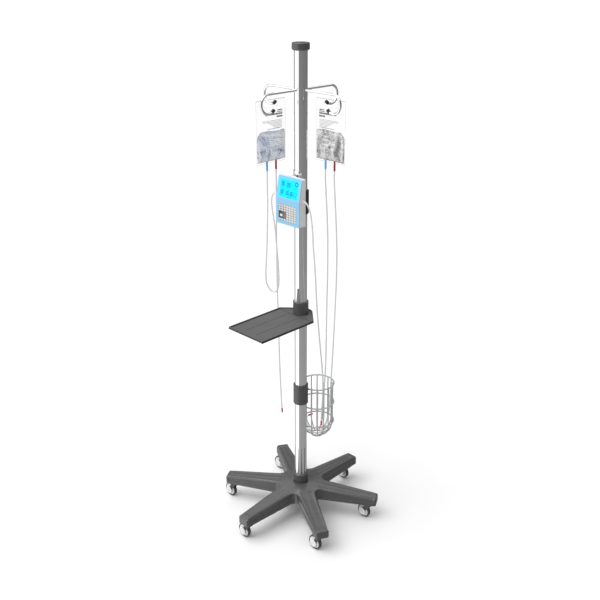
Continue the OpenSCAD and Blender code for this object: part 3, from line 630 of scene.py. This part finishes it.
def fluid_material(name, stops):
    """A crumpled clear pouch full of clear fluid, drawn as bright and dark patches on a glossy skin: painted
    reflections, painted light coming through and painted shade in the creases, with a faint painted glow.
    """
    material, tree, shader = new_material(name)
    painted_light_in = node(tree, "ShaderNodeAttribute", attribute_name="painted_pouch_light")
    crumple = node(tree, "ShaderNodeTexVoronoi", Scale=130.0)
    warp = node(tree, "ShaderNodeTexNoise", Scale=70.0, Detail=4.0, Distortion=1.5)
    tree.links.new(place(tree), warp.inputs["Vector"])
    tree.links.new(place(tree), crumple.inputs["Vector"])
    total = maths(tree, "ADD", painted_light_in.outputs["Fac"], spread(tree, warp.outputs["Fac"], -0.09, 0.09))
    tree.links.new(ramp(tree, total, stops), shader.inputs["Base Color"])
    tree.links.new(spread(tree, noise_of(tree, 90.0, 4.0), 0.1, 0.25), shader.inputs["Roughness"])
    # A faint painted glow for the light that comes through the fluid.
    glow(shader, (0.95, 0.97, 1.0), 0.06)
    shader.inputs["IOR"].default_value = 1.36
    coat(shader, 0.25, 0.1)
    fine = bump(tree, shader, crumple.outputs["Distance"], 0.0015, 0.5)
    bump(tree, shader, warp.outputs["Fac"], 0.003, 0.5, fine)
    return material


film = film_material("bag_film_clear", 0.07, 0.14)
weld_film = film_material("bag_film_weld", 0.3, 0.3, (0.55, 0.56, 0.575))
fluid_blue = fluid_material("bag_fluid_blue", [
    (0.1, (0.1, 0.115, 0.19)), (0.35, (0.29, 0.34, 0.5)), (0.55, (0.5, 0.56, 0.71)),
    (0.75, (0.72, 0.78, 0.9)), (0.95, (0.97, 0.98, 1.0))])
fluid_grey = fluid_material("bag_fluid_grey", [
    (0.1, (0.05, 0.05, 0.05)), (0.4, (0.24, 0.24, 0.235)), (0.6, (0.42, 0.42, 0.41)),
    (0.78, (0.64, 0.64, 0.63)), (0.95, (0.97, 0.97, 0.96))])
ink_dark = plastic("print_dark", (0.045, 0.045, 0.05), 0.5, 900.0, 0.00001, 0.2, 300.0)
ink_light = plastic("print_light", (0.34, 0.34, 0.35), 0.5, 900.0, 0.00001, 0.15, 300.0)


def make_film(name, at, turn, seed, lean):
    """The two clear films, with a thin weld round the outline and the slot."""
    verts, faces, middles, _ = bag_sheets(
        lambda u, v: film_half(u, v, seed, lean), lambda u, v: slot_distance(u, v) >= SLOT_R, FILM_CELL,
        turn, at, (-HALF_W, HALF_W), (0.0, BAG_H), round_outline)
    shell = piece(name + "_film", verts, faces, [film, weld_film])
    for polygon, (u, v) in zip(shell.data.polygons, middles):
        welded = min(HALF_W - abs(u), v, BAG_H - v) < WELD_W or slot_distance(u, v) - SLOT_R < SLOT_RIM
        polygon.material_index = 1 if welded else 0
    return shell


def make_fluid(name, at, turn, seed, lean, material, fold_shading, painted_spots):
    """The filled part between the films, with its painted light and shade in the colour attribute that its
    material reads.
    """
    verts, faces, _, where = bag_sheets(
        lambda u, v: fluid_half(u, v, seed, lean), lambda u, v: fluid_edge(u, v, lean) > 0.3, FLUID_CELL,
        turn, at, FLUID_U, FLUID_V)
    fluid = piece(name + "_fluid", verts, faces, material)
    shade = fluid.data.color_attributes.new(name="painted_pouch_light", type="FLOAT_COLOR", domain="POINT")
    for item, (u, v) in zip(shade.data, where):
        t = painted_pouch_light(u, v, seed, lean, fold_shading, painted_spots)
        item.color = (t, t, t, 1.0)


# Rows of print: v, height, start, end, gap between dashes, and a number that varies their lengths.
DARK_ROWS = [
    (200.5, 4.2, 34.0, 58.0, 1.0, 1), (194.0, 3.6, 30.0, 60.0, 1.2, 4), (186.5, 6.4, -30.0, 60.0, 1.0, 2),
    (176.0, 6.4, 28.0, 60.0, 1.0, 3),
]
LIGHT_ROWS = [
    (163.0 - 5.0 * k, 2.0, start, 60.0 - 2.0 * (k % 3), 1.6, k + 5)
    for k, start in enumerate((-46.0, -40.0, -14.0, -4.0, 2.0, 14.0, 18.0))
]
LIGHT_ROWS.append((132.0, 2.6, -20.0, 48.0, 1.4, 12))


def dashes(start, end, gap, number):
    """The ends of each dash in a row of generic dashes."""
    out, u = [], start
    while u < end - 1.0:
        length = 2.5 + 4.5 * abs(math.sin(number * 1.7 + len(out) * 2.3))
        out.append((u, min(end, u + length)))
        u += length + gap
    return out


def away(lean, start, end):
    """The ends of a row, kept to the side away from the cut corner."""
    return (-lean * end, -lean * start) if lean > 0 else (start, end)


def make_print(name, rows, material, at, turn, seed, lean):
    """Rows of short bars just in front of the film."""
    verts, faces = [], []
    for v, height, start, end, gap, number in rows:
        for u0, u1 in dashes(*away(lean, start, end), gap, number):
            n = max(1, round((u1 - u0) / PRINT_STEP))
            first = len(verts)
            for k in range(n + 1):
                u = u0 + (u1 - u0) * k / n
                for w in (v - height / 2, v + height / 2):
                    verts.append(at(u, w, film_half(u, w, seed, lean) + PRINT_LIFT))
            for k in range(n):
                q = (first + 2 * k, first + 2 * k + 2, first + 2 * k + 3, first + 2 * k + 1)
                faces.append(q if turn > 0 else tuple(reversed(q)))
    piece(name, verts, faces, material, smooth=False)


def make_bag(name, wide, face, centre, seed, lean, fluid, fold_shading, painted_spots):
    """wide is the way the width runs, face the side with the print, lean the side of the cut corner."""
    wide, face, centre = Vector(wide), Vector(face), Vector(centre)
    turn = wide.cross(Vector((0, 0, 1))).dot(face)

    def at(u, v, t):
        return centre + wide * (u * MM) + face * (t * MM) + Vector((0, 0, (BAG_BOTTOM + v) * MM))

    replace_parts(make_film(name, at, turn, seed, lean), name)
    make_fluid(name, at, turn, seed, lean, fluid, fold_shading, painted_spots)
    make_print(name + "_print_dark", DARK_ROWS, ink_dark, at, turn, seed, lean)
    make_print(name + "_print_light", LIGHT_ROWS, ink_light, at, turn, seed, lean)


# For each bag's fluid: painted shade and painted highlights along its creases, then painted dark spots and
# painted bright patches.
LEFT_FOLD_SHADING = [
    ([(-66, 112), (-52, 90), (-20, 57), (-25, 20)], 4.0, -0.35),
    ([(-60, 105), (-44, 84), (-14, 52)], 3.0, 0.3), ([(-40, 112), (60, 104)], 2.5, 0.3),
    ([(-10, 62), (36, 66)], 1.2, -0.5), ([(-30, 100), (66, 92)], 1.8, -0.25),
    ([(60, 116), (70, 60), (64, 14)], 3.0, 0.3), ([(-70, 88), (-64, 12)], 3.5, 0.35),
]
LEFT_PAINTED_SPOTS = [
    (-50, 50, 22, 45, -0.12), (30, 85, 45, 30, 0.12), (36, 46, 4, 5, -0.7), (45, 44, 6, 4, -0.6),
    (60, 40, 3, 6, -0.7), (26, 50, 5, 3, -0.5), (-44, 22, 10, 12, 0.4), (8, 30, 14, 12, 0.35),
    (44, 20, 18, 10, 0.2),
]
RIGHT_FOLD_SHADING = [
    ([(44, 108), (50, 76), (44, 40)], 9.0, -0.4), ([(62, 100), (66, 50), (62, 14)], 3.0, 0.4),
    ([(-66, 108), (-70, 60), (-66, 14)], 2.5, 0.3), ([(-60, 96), (30, 90)], 1.5, -0.3),
    ([(-30, 70), (30, 74)], 2.5, 0.25), ([(-20, 60), (-14, 12)], 2.5, 0.35), ([(24, 56), (30, 14)], 3.0, 0.3),
    ([(-56, 116), (50, 112)], 2.0, 0.25),
]
RIGHT_PAINTED_SPOTS = [
    (-66, 42, 4, 6, -0.7), (-58, 36, 5, 4, -0.6), (-44, 44, 4, 4, -0.5), (6, 62, 6, 4, -0.5),
    (-30, 24, 16, 12, 0.45), (-50, 84, 14, 26, -0.15), (16, 24, 14, 10, 0.3),
]
make_bag("left_bag", (0, 1, 0), (1, 0, 0), (-0.162, 0, 0), 2.3, -1, fluid_blue, LEFT_FOLD_SHADING, LEFT_PAINTED_SPOTS)
make_bag("right_bag", (1, 0, 0), (0, -1, 0), (0, 0.162, 0), 7.9, 1, fluid_grey, RIGHT_FOLD_SHADING, RIGHT_PAINTED_SPOTS)

PORT_TOP = 1545.3
PORT_PROFILE = [
    (0.0031, -0.0381), (0.0031, -0.038), (0.0037, -0.038), (0.0042, -0.0374), (0.0042, -0.0345),
    (0.0039, -0.034), (0.0039, -0.0325), (0.0042, -0.032), (0.0042, -0.0115), (0.0036, -0.0105),
    (0.0036, -0.0002), (0.0003, 0.0),
]


def make_port(name, x, y, material):
    """The sleeve that a line is pushed into, below its bag."""
    top = (x, y, PORT_TOP * MM)
    return lathe(name, PORT_PROFILE, top, (0, 0, 1), material, sides=32)


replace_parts(make_port("left_blue_port", -0.162, -0.024, blue_port), "bag_ports")
make_port("left_red_port", -0.162, 0.024, red_port)
make_port("right_blue_port", -0.024, 0.162, blue_port)
make_port("right_red_port", 0.024, 0.162, red_port)


# ---------------------------------------------------------------- base

# Sizes in mm, angles in degrees. On a leg, lx runs out from the pole's axis and ly across the leg.
# Nearer the axis than HUB_R the moulding keeps its shape.
HUB_R = 70
LEG_ANGLE, FIRST_LEG = 60, 30
LEG_IN, LEG_LENGTH = 30, 305
LEG_HALF_IN, LEG_HALF_OUT = 44, 29.5
SIDE_INSET = 2.4
PANEL_SHARE = 0.58
PANEL_DEPTH, RIDGE_HEIGHT, MIDDLE_HEIGHT = 1.5, 1.0, 0.7
SCREW_AT = 306
VOXEL = 2.2 * MM


def remeshed_base():
    """The CAD moulding as one fine mesh with softened edges."""
    obj = bpy.data.objects.new("base_shell", nodes["base_moulding"].data.copy())
    bpy.context.scene.collection.objects.link(obj)
    weld = obj.modifiers.new("weld", "WELD")
    weld.merge_threshold = 0.00002
    remesh = obj.modifiers.new("remesh", "REMESH")
    remesh.mode = "VOXEL"
    remesh.voxel_size = VOXEL
    remesh.use_smooth_shade = True
    smooth = obj.modifiers.new("smooth", "SMOOTH")
    smooth.factor = 0.5
    smooth.iterations = 9
    bpy.context.view_layer.update()
    made = bpy.data.meshes.new_from_object(obj.evaluated_get(bpy.context.evaluated_depsgraph_get()))
    bpy.data.objects.remove(obj)
    return made


def leg_point(lx, ly, z, up):
    """Where a point of a leg goes. up says how far the face looks up: only the top gets panels and ridges."""
    half = LEG_HALF_IN - (LEG_HALF_IN - LEG_HALF_OUT) * (lx - LEG_IN) / LEG_LENGTH
    near = smoothstep(half - 9, half - 3, abs(ly))
    near *= smoothstep(99.5, 102.5, z) * smoothstep(75, 110, lx) * smoothstep(337, 326, lx)
    panel = PANEL_SHARE * half
    dip = smoothstep(panel + 2.6, panel - 2.6, abs(ly)) * smoothstep(322, 312, lx) * smoothstep(86, 100, lx)
    ridge = math.exp(-((abs(ly) - panel - 4.2) / 2.6) ** 2)
    ridge *= smoothstep(330, 318, lx) * smoothstep(70, 96, lx)
    middle = math.exp(-(ly / 5.0) ** 2) * dip
    z += smoothstep(0.6, 0.9, up) * (RIDGE_HEIGHT * ridge - PANEL_DEPTH * dip + MIDDLE_HEIGHT * middle)
    return ly - math.copysign(SIDE_INSET * near, ly), z


def make_base():
    """The six-leg moulding with soft shoulders, drafted sides and sunk panels with ridges on the legs.

    Gives the height of a leg's top where its screw sits, in metres.
    """
    made = remeshed_base()
    seat = 0.0
    rise = [v.normal.z for v in made.vertices]
    for v, up in zip(made.vertices, rise):
        x, y, z = (c * 1000 for c in v.co)
        if math.hypot(x, y) < HUB_R:
            continue
        a = math.degrees(math.atan2(y, x)) - FIRST_LEG
        leg = math.radians(round(a / LEG_ANGLE) * LEG_ANGLE + FIRST_LEG)
        c, s = math.cos(leg), math.sin(leg)
        lx = x * c + y * s
        ly, z = leg_point(lx, -x * s + y * c, z, up)
        v.co = Vector((lx * c - ly * s, lx * s + ly * c, z)) * MM
        if abs(lx - SCREW_AT) < 2 and abs(ly) < 2:
            seat = max(seat, z)
    made.materials.clear()
    made.materials.append(charcoal)
    made.polygons.foreach_set("use_smooth", [True] * len(made.polygons))
    shell = bpy.data.objects.new("base_shell", made)
    bpy.context.scene.collection.objects.link(shell)
    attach(shell, "stand")
    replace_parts(shell, "base_moulding")
    return seat * MM


SCREW_PROFILE = [
    (0.0001, -0.004), (0.0036, -0.004), (0.0038, 0.0), (0.003, 0.0008), (0.0016, 0.0007), (0.0015, -0.0004),
    (0.0001, -0.0005),
]
COVER_PROFILE = [
    (0.0178, 0.0), (0.0178, 0.0006), (0.0166, 0.0014), (0.009, 0.002), (0.0085, 0.0017), (0.0035, 0.0019),
    (0.003, 0.0024), (0.0001, 0.0025),
]


def make_leg_screw(number, seat):
    a = math.radians(FIRST_LEG + LEG_ANGLE * number)
    spot = (SCREW_AT * MM * math.cos(a), SCREW_AT * MM * math.sin(a), seat)
    lathe("leg_screw_%d" % number, SCREW_PROFILE, spot, (0, 0, 1), collar_plastic, sides=20)


def make_axle_cover(number):
    """The white disc over the fork's arm towards -Y, centred on the wheel's hub; it turns with the fork."""
    hub_low, hub_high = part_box("hub_%d" % number)
    fork_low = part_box("fork_%d" % number)[0]
    middle = [(p + q) / 2 for p, q in zip(hub_low, hub_high)]
    lathe("axle_cover_%d" % number, COVER_PROFILE, (middle[0], fork_low[1], middle[2]), (0, -1, 0), hub_white,
          body="caster_%d" % number, sides=40)


seat_z = make_base()
for number in CASTERS:
    make_leg_screw(number, seat_z)
for number in CASTERS:
    make_axle_cover(number)


# ---------------------------------------------------------------- pump

# The sloping upper front starts at this y and z, in mm.
FOOT_Y, KINK_Z = -71.0, 1431.0
SLOPE = math.atan(15 / 86)


def on_slope(x, out, up):
    """A point on the sloping upper front, in metres; out is mm towards the front, up is mm up the slope."""
    y = FOOT_Y - out * math.cos(SLOPE) + up * math.sin(SLOPE)
    z = KINK_Z + out * math.sin(SLOPE) + up * math.cos(SLOPE)
    return Vector((x, y, z)) * MM


def lcd_material(name, colour, strength):
    """A display's own light, nearly even, under a smooth face."""
    material, tree, shader = new_material(name)
    lit = ramp(tree, noise_of(tree, 26.0, 3.0), [(0.3, tuple(c * 0.96 for c in colour)), (0.7, colour)])
    tree.links.new(lit, shader.inputs["Base Color"])
    tree.links.new(lit, shader.inputs["Emission Color"])
    shader.inputs["Emission Strength"].default_value = strength
    shader.inputs["Specular IOR Level"].default_value = 0.15
    tree.links.new(spread(tree, noise_of(tree, 200.0), 0.1, 0.16), shader.inputs["Roughness"])
    bump(tree, shader, noise_of(tree, 900.0, 2.0), 0.00001, 0.3)
    return material


lcd = lcd_material("lcd_cyan", (0.0, 0.74, 0.86), 0.38)
lcd_ink = lcd_material("lcd_blue", (0.0, 0.2, 0.62), 0.12)

# Sizes in mm on the display: x from the middle of the pump, z up the slope from the kink.
SEGMENTS = {"1": "bc", "3": "abgcd", "6": "afgedc", "8": "abcdefg"}
BAR = 2.6
DOT, DOT_STEP, DOT_MORE = 1.6, 2.6, 0.5
INK_BACK, INK_FRONT = -0.24, -0.1
RING_X, RING_Z, RING_OUT, RING_IN, RING_SIDES = 38, 65, 9.0, 5.4, 32
FIGURES = (
    ("3", -45, 50, 9, 17), ("8", -34, 50, 9, 17), ("8", -14, 47, 9.5, 18), ("8", -2.5, 47, 9.5, 18),
    ("1", 13, 50, 4, 9), ("3", -45, 19, 8, 16), ("8", -35, 19, 8, 16), ("3", -15, 18, 8, 16),
    ("6", -5, 18, 8, 16), ("3", 6, 18, 8, 16), ("6", 15.5, 18, 8, 16), ("1", 26, 15, 5, 20),
    ("1", 37, 15, 5, 20),
)
DOT_ROWS = (
    (-44, 45, 7), (-14, 42, 4), (26, 46, 7), (-38, 38, 5), (-8, 38, 6), (-44, 13.5, 5), (2, 13, 7),
    (20, 73, 3), (-20, 70.5, 6), (-42, 71, 4), (-10, 9, 8),
)


def bar_points(x0, x1, z0, z1):
    """The eight corners of a thin bar set just behind the display's face."""
    points = []
    for out in (INK_BACK, INK_FRONT):
        points += [on_slope(x0, out, z0), on_slope(x1, out, z0), on_slope(x1, out, z1), on_slope(x0, out, z1)]
    return points


def figure_bars(figure, x, z, wide, high):
    """The lit bars of a seven-segment figure whose lower left corner is at x, z."""
    middle = z + high / 2
    across = (x + BAR * 0.6, x + wide - BAR * 0.6)
    left, right = (x, x + BAR), (x + wide - BAR, x + wide)
    lower = (z + BAR * 0.3, middle - BAR * 0.3)
    upper = (middle + BAR * 0.3, z + high - BAR * 0.3)
    spans = {
        "a": (*across, z + high - BAR, z + high),
        "b": (*right, *upper),
        "c": (*right, *lower),
        "d": (*across, z, z + BAR),
        "e": (*left, *lower),
        "f": (*left, *upper),
        "g": (*across, middle - BAR / 2, middle + BAR / 2),
    }
    return [bar_points(*spans[letter]) for letter in SEGMENTS[figure]]


def make_figures():
    """Generic figures, rows of dots and a ring, all in one piece."""
    bars = []
    for figure, x, z, wide, high in FIGURES:
        bars += figure_bars(figure, x, z, wide, high)
    for x, z, count in DOT_ROWS:
        for k in range(count):
            start = x + k * DOT_STEP
            bars.append(bar_points(start, start + DOT + DOT_MORE * (k % 2), z, z + DOT))
    verts, faces = [], []
    for points in bars:
        b = len(verts)
        verts += points
        faces += [(b, b + 3, b + 2, b + 1), (b + 4, b + 5, b + 6, b + 7)]
        faces += [(b + i, b + j, b + j + 4, b + i + 4) for i, j in ((0, 1), (1, 2), (2, 3), (3, 0))]
    ring = len(verts)
    for k in range(RING_SIDES):
        a = 2 * math.pi * k / RING_SIDES
        for r in (RING_OUT, RING_IN):
            verts.append(on_slope(RING_X + r * math.cos(a), INK_FRONT, RING_Z + r * math.sin(a)))
    for k in range(RING_SIDES):
        j = (k + 1) % RING_SIDES
        faces.append((ring + 2 * k, ring + 2 * k + 1, ring + 2 * j + 1, ring + 2 * j))
    piece("display_figures", verts, faces, lcd_ink, smooth=False)


make_figures()

# Where each step of tone on the key panel begins and ends, in metres; the two fades towards the left are
# painted shade.
KEY_FACE_Y = (-0.07085, -0.07105)
FIELD_X = (-0.0035, -0.0055)
FIELD_LOW_Z, FIELD_HIGH_Z = (1.3405, 1.3425), (1.3895, 1.3875)
PANEL_SHADE_X, FIELD_SHADE_X = (-0.04, 0.005), (-0.044, -0.006)


def keypad_material():
    """Raised keys are white; the panel behind is light grey with one dark field at the lower left, and both
    grow darker towards the left, which is painted shade.
    """
    material, tree, shader = new_material("keypad_two_tone_and_shade")
    x, y, z = axes(tree, place(tree))
    white = ramp(tree, noise_of(tree, 90.0, 4.0), [(0.3, (0.76, 0.755, 0.75)), (0.7, (0.88, 0.875, 0.87))])
    # Painted shade: the panel and the dark field both fade darker towards the left.
    panel_shaded = mix_colour(tree, step_on(tree, x, *PANEL_SHADE_X), (0.2, 0.18, 0.16), (0.42, 0.415, 0.41))
    level = maths(tree, "MULTIPLY", step_on(tree, x, *FIELD_X), step_on(tree, z, *FIELD_LOW_Z))
    field = maths(tree, "MULTIPLY", level, step_on(tree, z, *FIELD_HIGH_Z))
    dark = mix_colour(tree, step_on(tree, x, *FIELD_SHADE_X), (0.035, 0.034, 0.033), (0.2, 0.198, 0.196))
    behind = mix_colour(tree, field, panel_shaded, dark)
    whole = mix_colour(tree, step_on(tree, y, *KEY_FACE_Y), behind, white)
    tree.links.new(whole, shader.inputs["Base Color"])
    tree.links.new(spread(tree, noise_of(tree, 200.0), 0.4, 0.5), shader.inputs["Roughness"])
    bump(tree, shader, noise_of(tree, 1800.0, 2.0), 0.00003, 0.5)
    return material


keypad_mat = keypad_material()


# ---------------------------------------------------------------- tray

# Where each step of the tray's painted shade line begins and ends, in metres.
TRAY_FLOOR_Z = (0.9485, 0.948)
SIDE_SHADE_X, FRONT_SHADE_Y = (0.0895, 0.0905), (-0.293, -0.294)
REAR_SHADE_Y = ((-0.0335, -0.0325), (-0.029, -0.03))


def shade_tray_groove(material):
    """A fine line of painted shade inside the tray's rim and across its rear, where the flat floor begins."""
    tree = material.node_tree
    shader = tree.nodes["Principled BSDF"]
    x, y, z = axes(tree, place(tree))
    side = step_on(tree, maths(tree, "ABSOLUTE", x), *SIDE_SHADE_X)
    front = step_on(tree, y, *FRONT_SHADE_Y)
    rear = maths(tree, "MULTIPLY", step_on(tree, y, *REAR_SHADE_Y[0]), step_on(tree, y, *REAR_SHADE_Y[1]))
    shade_lines = maths(tree, "MAXIMUM", maths(tree, "MAXIMUM", side, front), rear)
    shade_mask = maths(tree, "MULTIPLY", shade_lines, step_on(tree, z, *TRAY_FLOOR_Z))
    before = shader.inputs["Base Color"].links[0].from_socket
    # Painted shade: the base colour goes dark along these lines.
    tree.links.new(mix_colour(tree, shade_mask, before, (0.035, 0.035, 0.036)), shader.inputs["Base Color"])


shade_tray_groove(tray_plastic)


# ---------------------------------------------------------------- finish of the CAD nodes

FORKS = ["fork_%d" % number for number in CASTERS]
paint(["pole_tube"], chrome)
paint(["hook_arms", "pump_bracket"], hook_chrome)
paint(["top_cap"], charcoal)
paint(["pole_collar", "basket_clamp", "tray_collar"], collar_plastic)
paint(["tray_plate"], tray_plastic)
paint(["pole_plug", "base_bolt", "hook_block", "basket_screw"], zinc)
paint(["hook_tips"], black_rubber)
paint(["basket_rings", "basket_uprights", "basket_bowl"], wire_paint)
paint(["tray_bush"], bush_white)
paint(["tray_knob", "pump_knob", "pump_clamp"] + FORKS, black_plastic)
paint(["pump_face"], face_blue)
paint(["pump_shell", "pump_back_cover"], cream)
paint(["display_panel"], lcd)
paint(["keypad"], keypad_mat)
paint(["stop_key"], key_grey)
paint(["start_key"], key_white)
paint(["main_board"], board_green)
paint(["battery"], cell_blue)
paint(["drive_motor"], motor_steel)
paint(["pump_rotor"], rotor_orange)
paint(["pump_segment"], tubing)
paint(["hub_%d" % number for number in CASTERS], hub_white)
paint(["tyre_%d" % number for number in CASTERS], tyre_rubber)
soften(["tray_plate"], 0.0012)
soften(["pump_shell", "pump_face", "pump_back_cover"], 0.0006)
soften(["stop_key", "start_key", "keypad"], 0.0003)
soften(["tray_knob", "pump_knob"], 0.0008)
soften(FORKS, 0.0006)
soften(["pump_clamp", "basket_clamp", "top_cap", "pump_bracket"], 0.0004)


# ---------------------------------------------------------------- stage

FLOOR_REACH = 150.0
KEY_WAY = (-0.22, -0.88, 1.6)
BRIGHT_WAY = (-0.77, -0.64, 0.0)
# What a shiny thing sees round the room: part of a full turn, then how bright it is there.
ROOM_GREYS = (
    (0.0, 0.46), (0.075, 0.5), (0.087, 1.35), (0.265, 1.35), (0.285, 0.2), (0.5, 0.165), (0.85, 0.13),
    (0.93, 0.3), (1.0, 0.5),
)


def make_floor():
    """A pale floor that throws less light back up than it shows."""
    material, tree, shader = new_material("pale_floor")
    seen = ramp(tree, noise_of(tree, 3.0, 3.0), [(0.3, (0.865, 0.865, 0.865)), (0.7, (0.885, 0.885, 0.885))])
    ray = node(tree, "ShaderNodeLightPath")
    colour = mix_colour(tree, ray.outputs["Is Diffuse Ray"], seen, (0.56, 0.56, 0.56))
    tree.links.new(colour, shader.inputs["Base Color"])
    shader.inputs["Roughness"].default_value = 0.9
    shader.inputs["Specular IOR Level"].default_value = 0.1
    data = bpy.data.meshes.new("floor")
    s = FLOOR_REACH
    data.from_pydata([(-s, -s, 0), (s, -s, 0), (s, s, 0), (-s, s, 0)], [], [(0, 1, 2, 3)])
    data.materials.append(material)
    floor = bpy.data.objects.new("floor", data)
    floor.visible_glossy = False
    bpy.context.scene.collection.objects.link(floor)


def make_lights():
    data = bpy.data.lights.new("key", "SUN")
    data.energy = 2.0
    data.angle = math.radians(50)
    key = bpy.data.objects.new("key", data)
    way = Vector(KEY_WAY).normalized()
    key.rotation_mode = "QUATERNION"
    key.rotation_quaternion = way.to_track_quat("Z", "Y")
    key.location = way * 5
    bpy.context.scene.collection.objects.link(key)


def make_world():
    """A soft white room, brighter above and to the left; shiny things see a bright panel and a grey room."""
    world = bpy.data.worlds.new("studio")
    world.use_nodes = True
    tree = world.node_tree
    back = tree.nodes["Background"]
    way = node(tree, "ShaderNodeTexCoord").outputs["Generated"]
    x, y, z = axes(tree, way)
    lean = node(tree, "ShaderNodeVectorMath", operation="DOT_PRODUCT")
    lean.inputs[1].default_value = BRIGHT_WAY
    tree.links.new(way, lean.inputs[0])
    height = ranged(tree, z, 0.0, 1.0, 0.3, 0.86)
    soft = maths(tree, "ADD", height, ranged(tree, lean.outputs["Value"], -1.0, 1.0, -0.22, 0.22))
    turn = ranged(tree, maths(tree, "ARCTAN2", y, x), -math.pi, math.pi, 0.0, 1.0)
    room = ramp(tree, turn, [(at, (grey, grey, grey)) for at, grey in ROOM_GREYS])
    low = maths(tree, "ADD", room, ranged(tree, z, -0.05, -0.5, 0.02, 0.19))
    shiny = mix_value(tree, ranged(tree, z, 0.48, 0.62, 0.0, 1.0), low, 1.25)
    ray = node(tree, "ShaderNodeLightPath")
    seen = mix_value(tree, ray.outputs["Is Camera Ray"], soft, 1.0)
    tree.links.new(mix_value(tree, ray.outputs["Is Glossy Ray"], seen, shiny), back.inputs["Strength"])
    back.inputs["Color"].default_value = (1, 1, 1, 1)
    bpy.context.scene.world = world


make_floor()
make_lights()
make_world()
bpy.context.scene.view_settings.view_transform = "Standard"
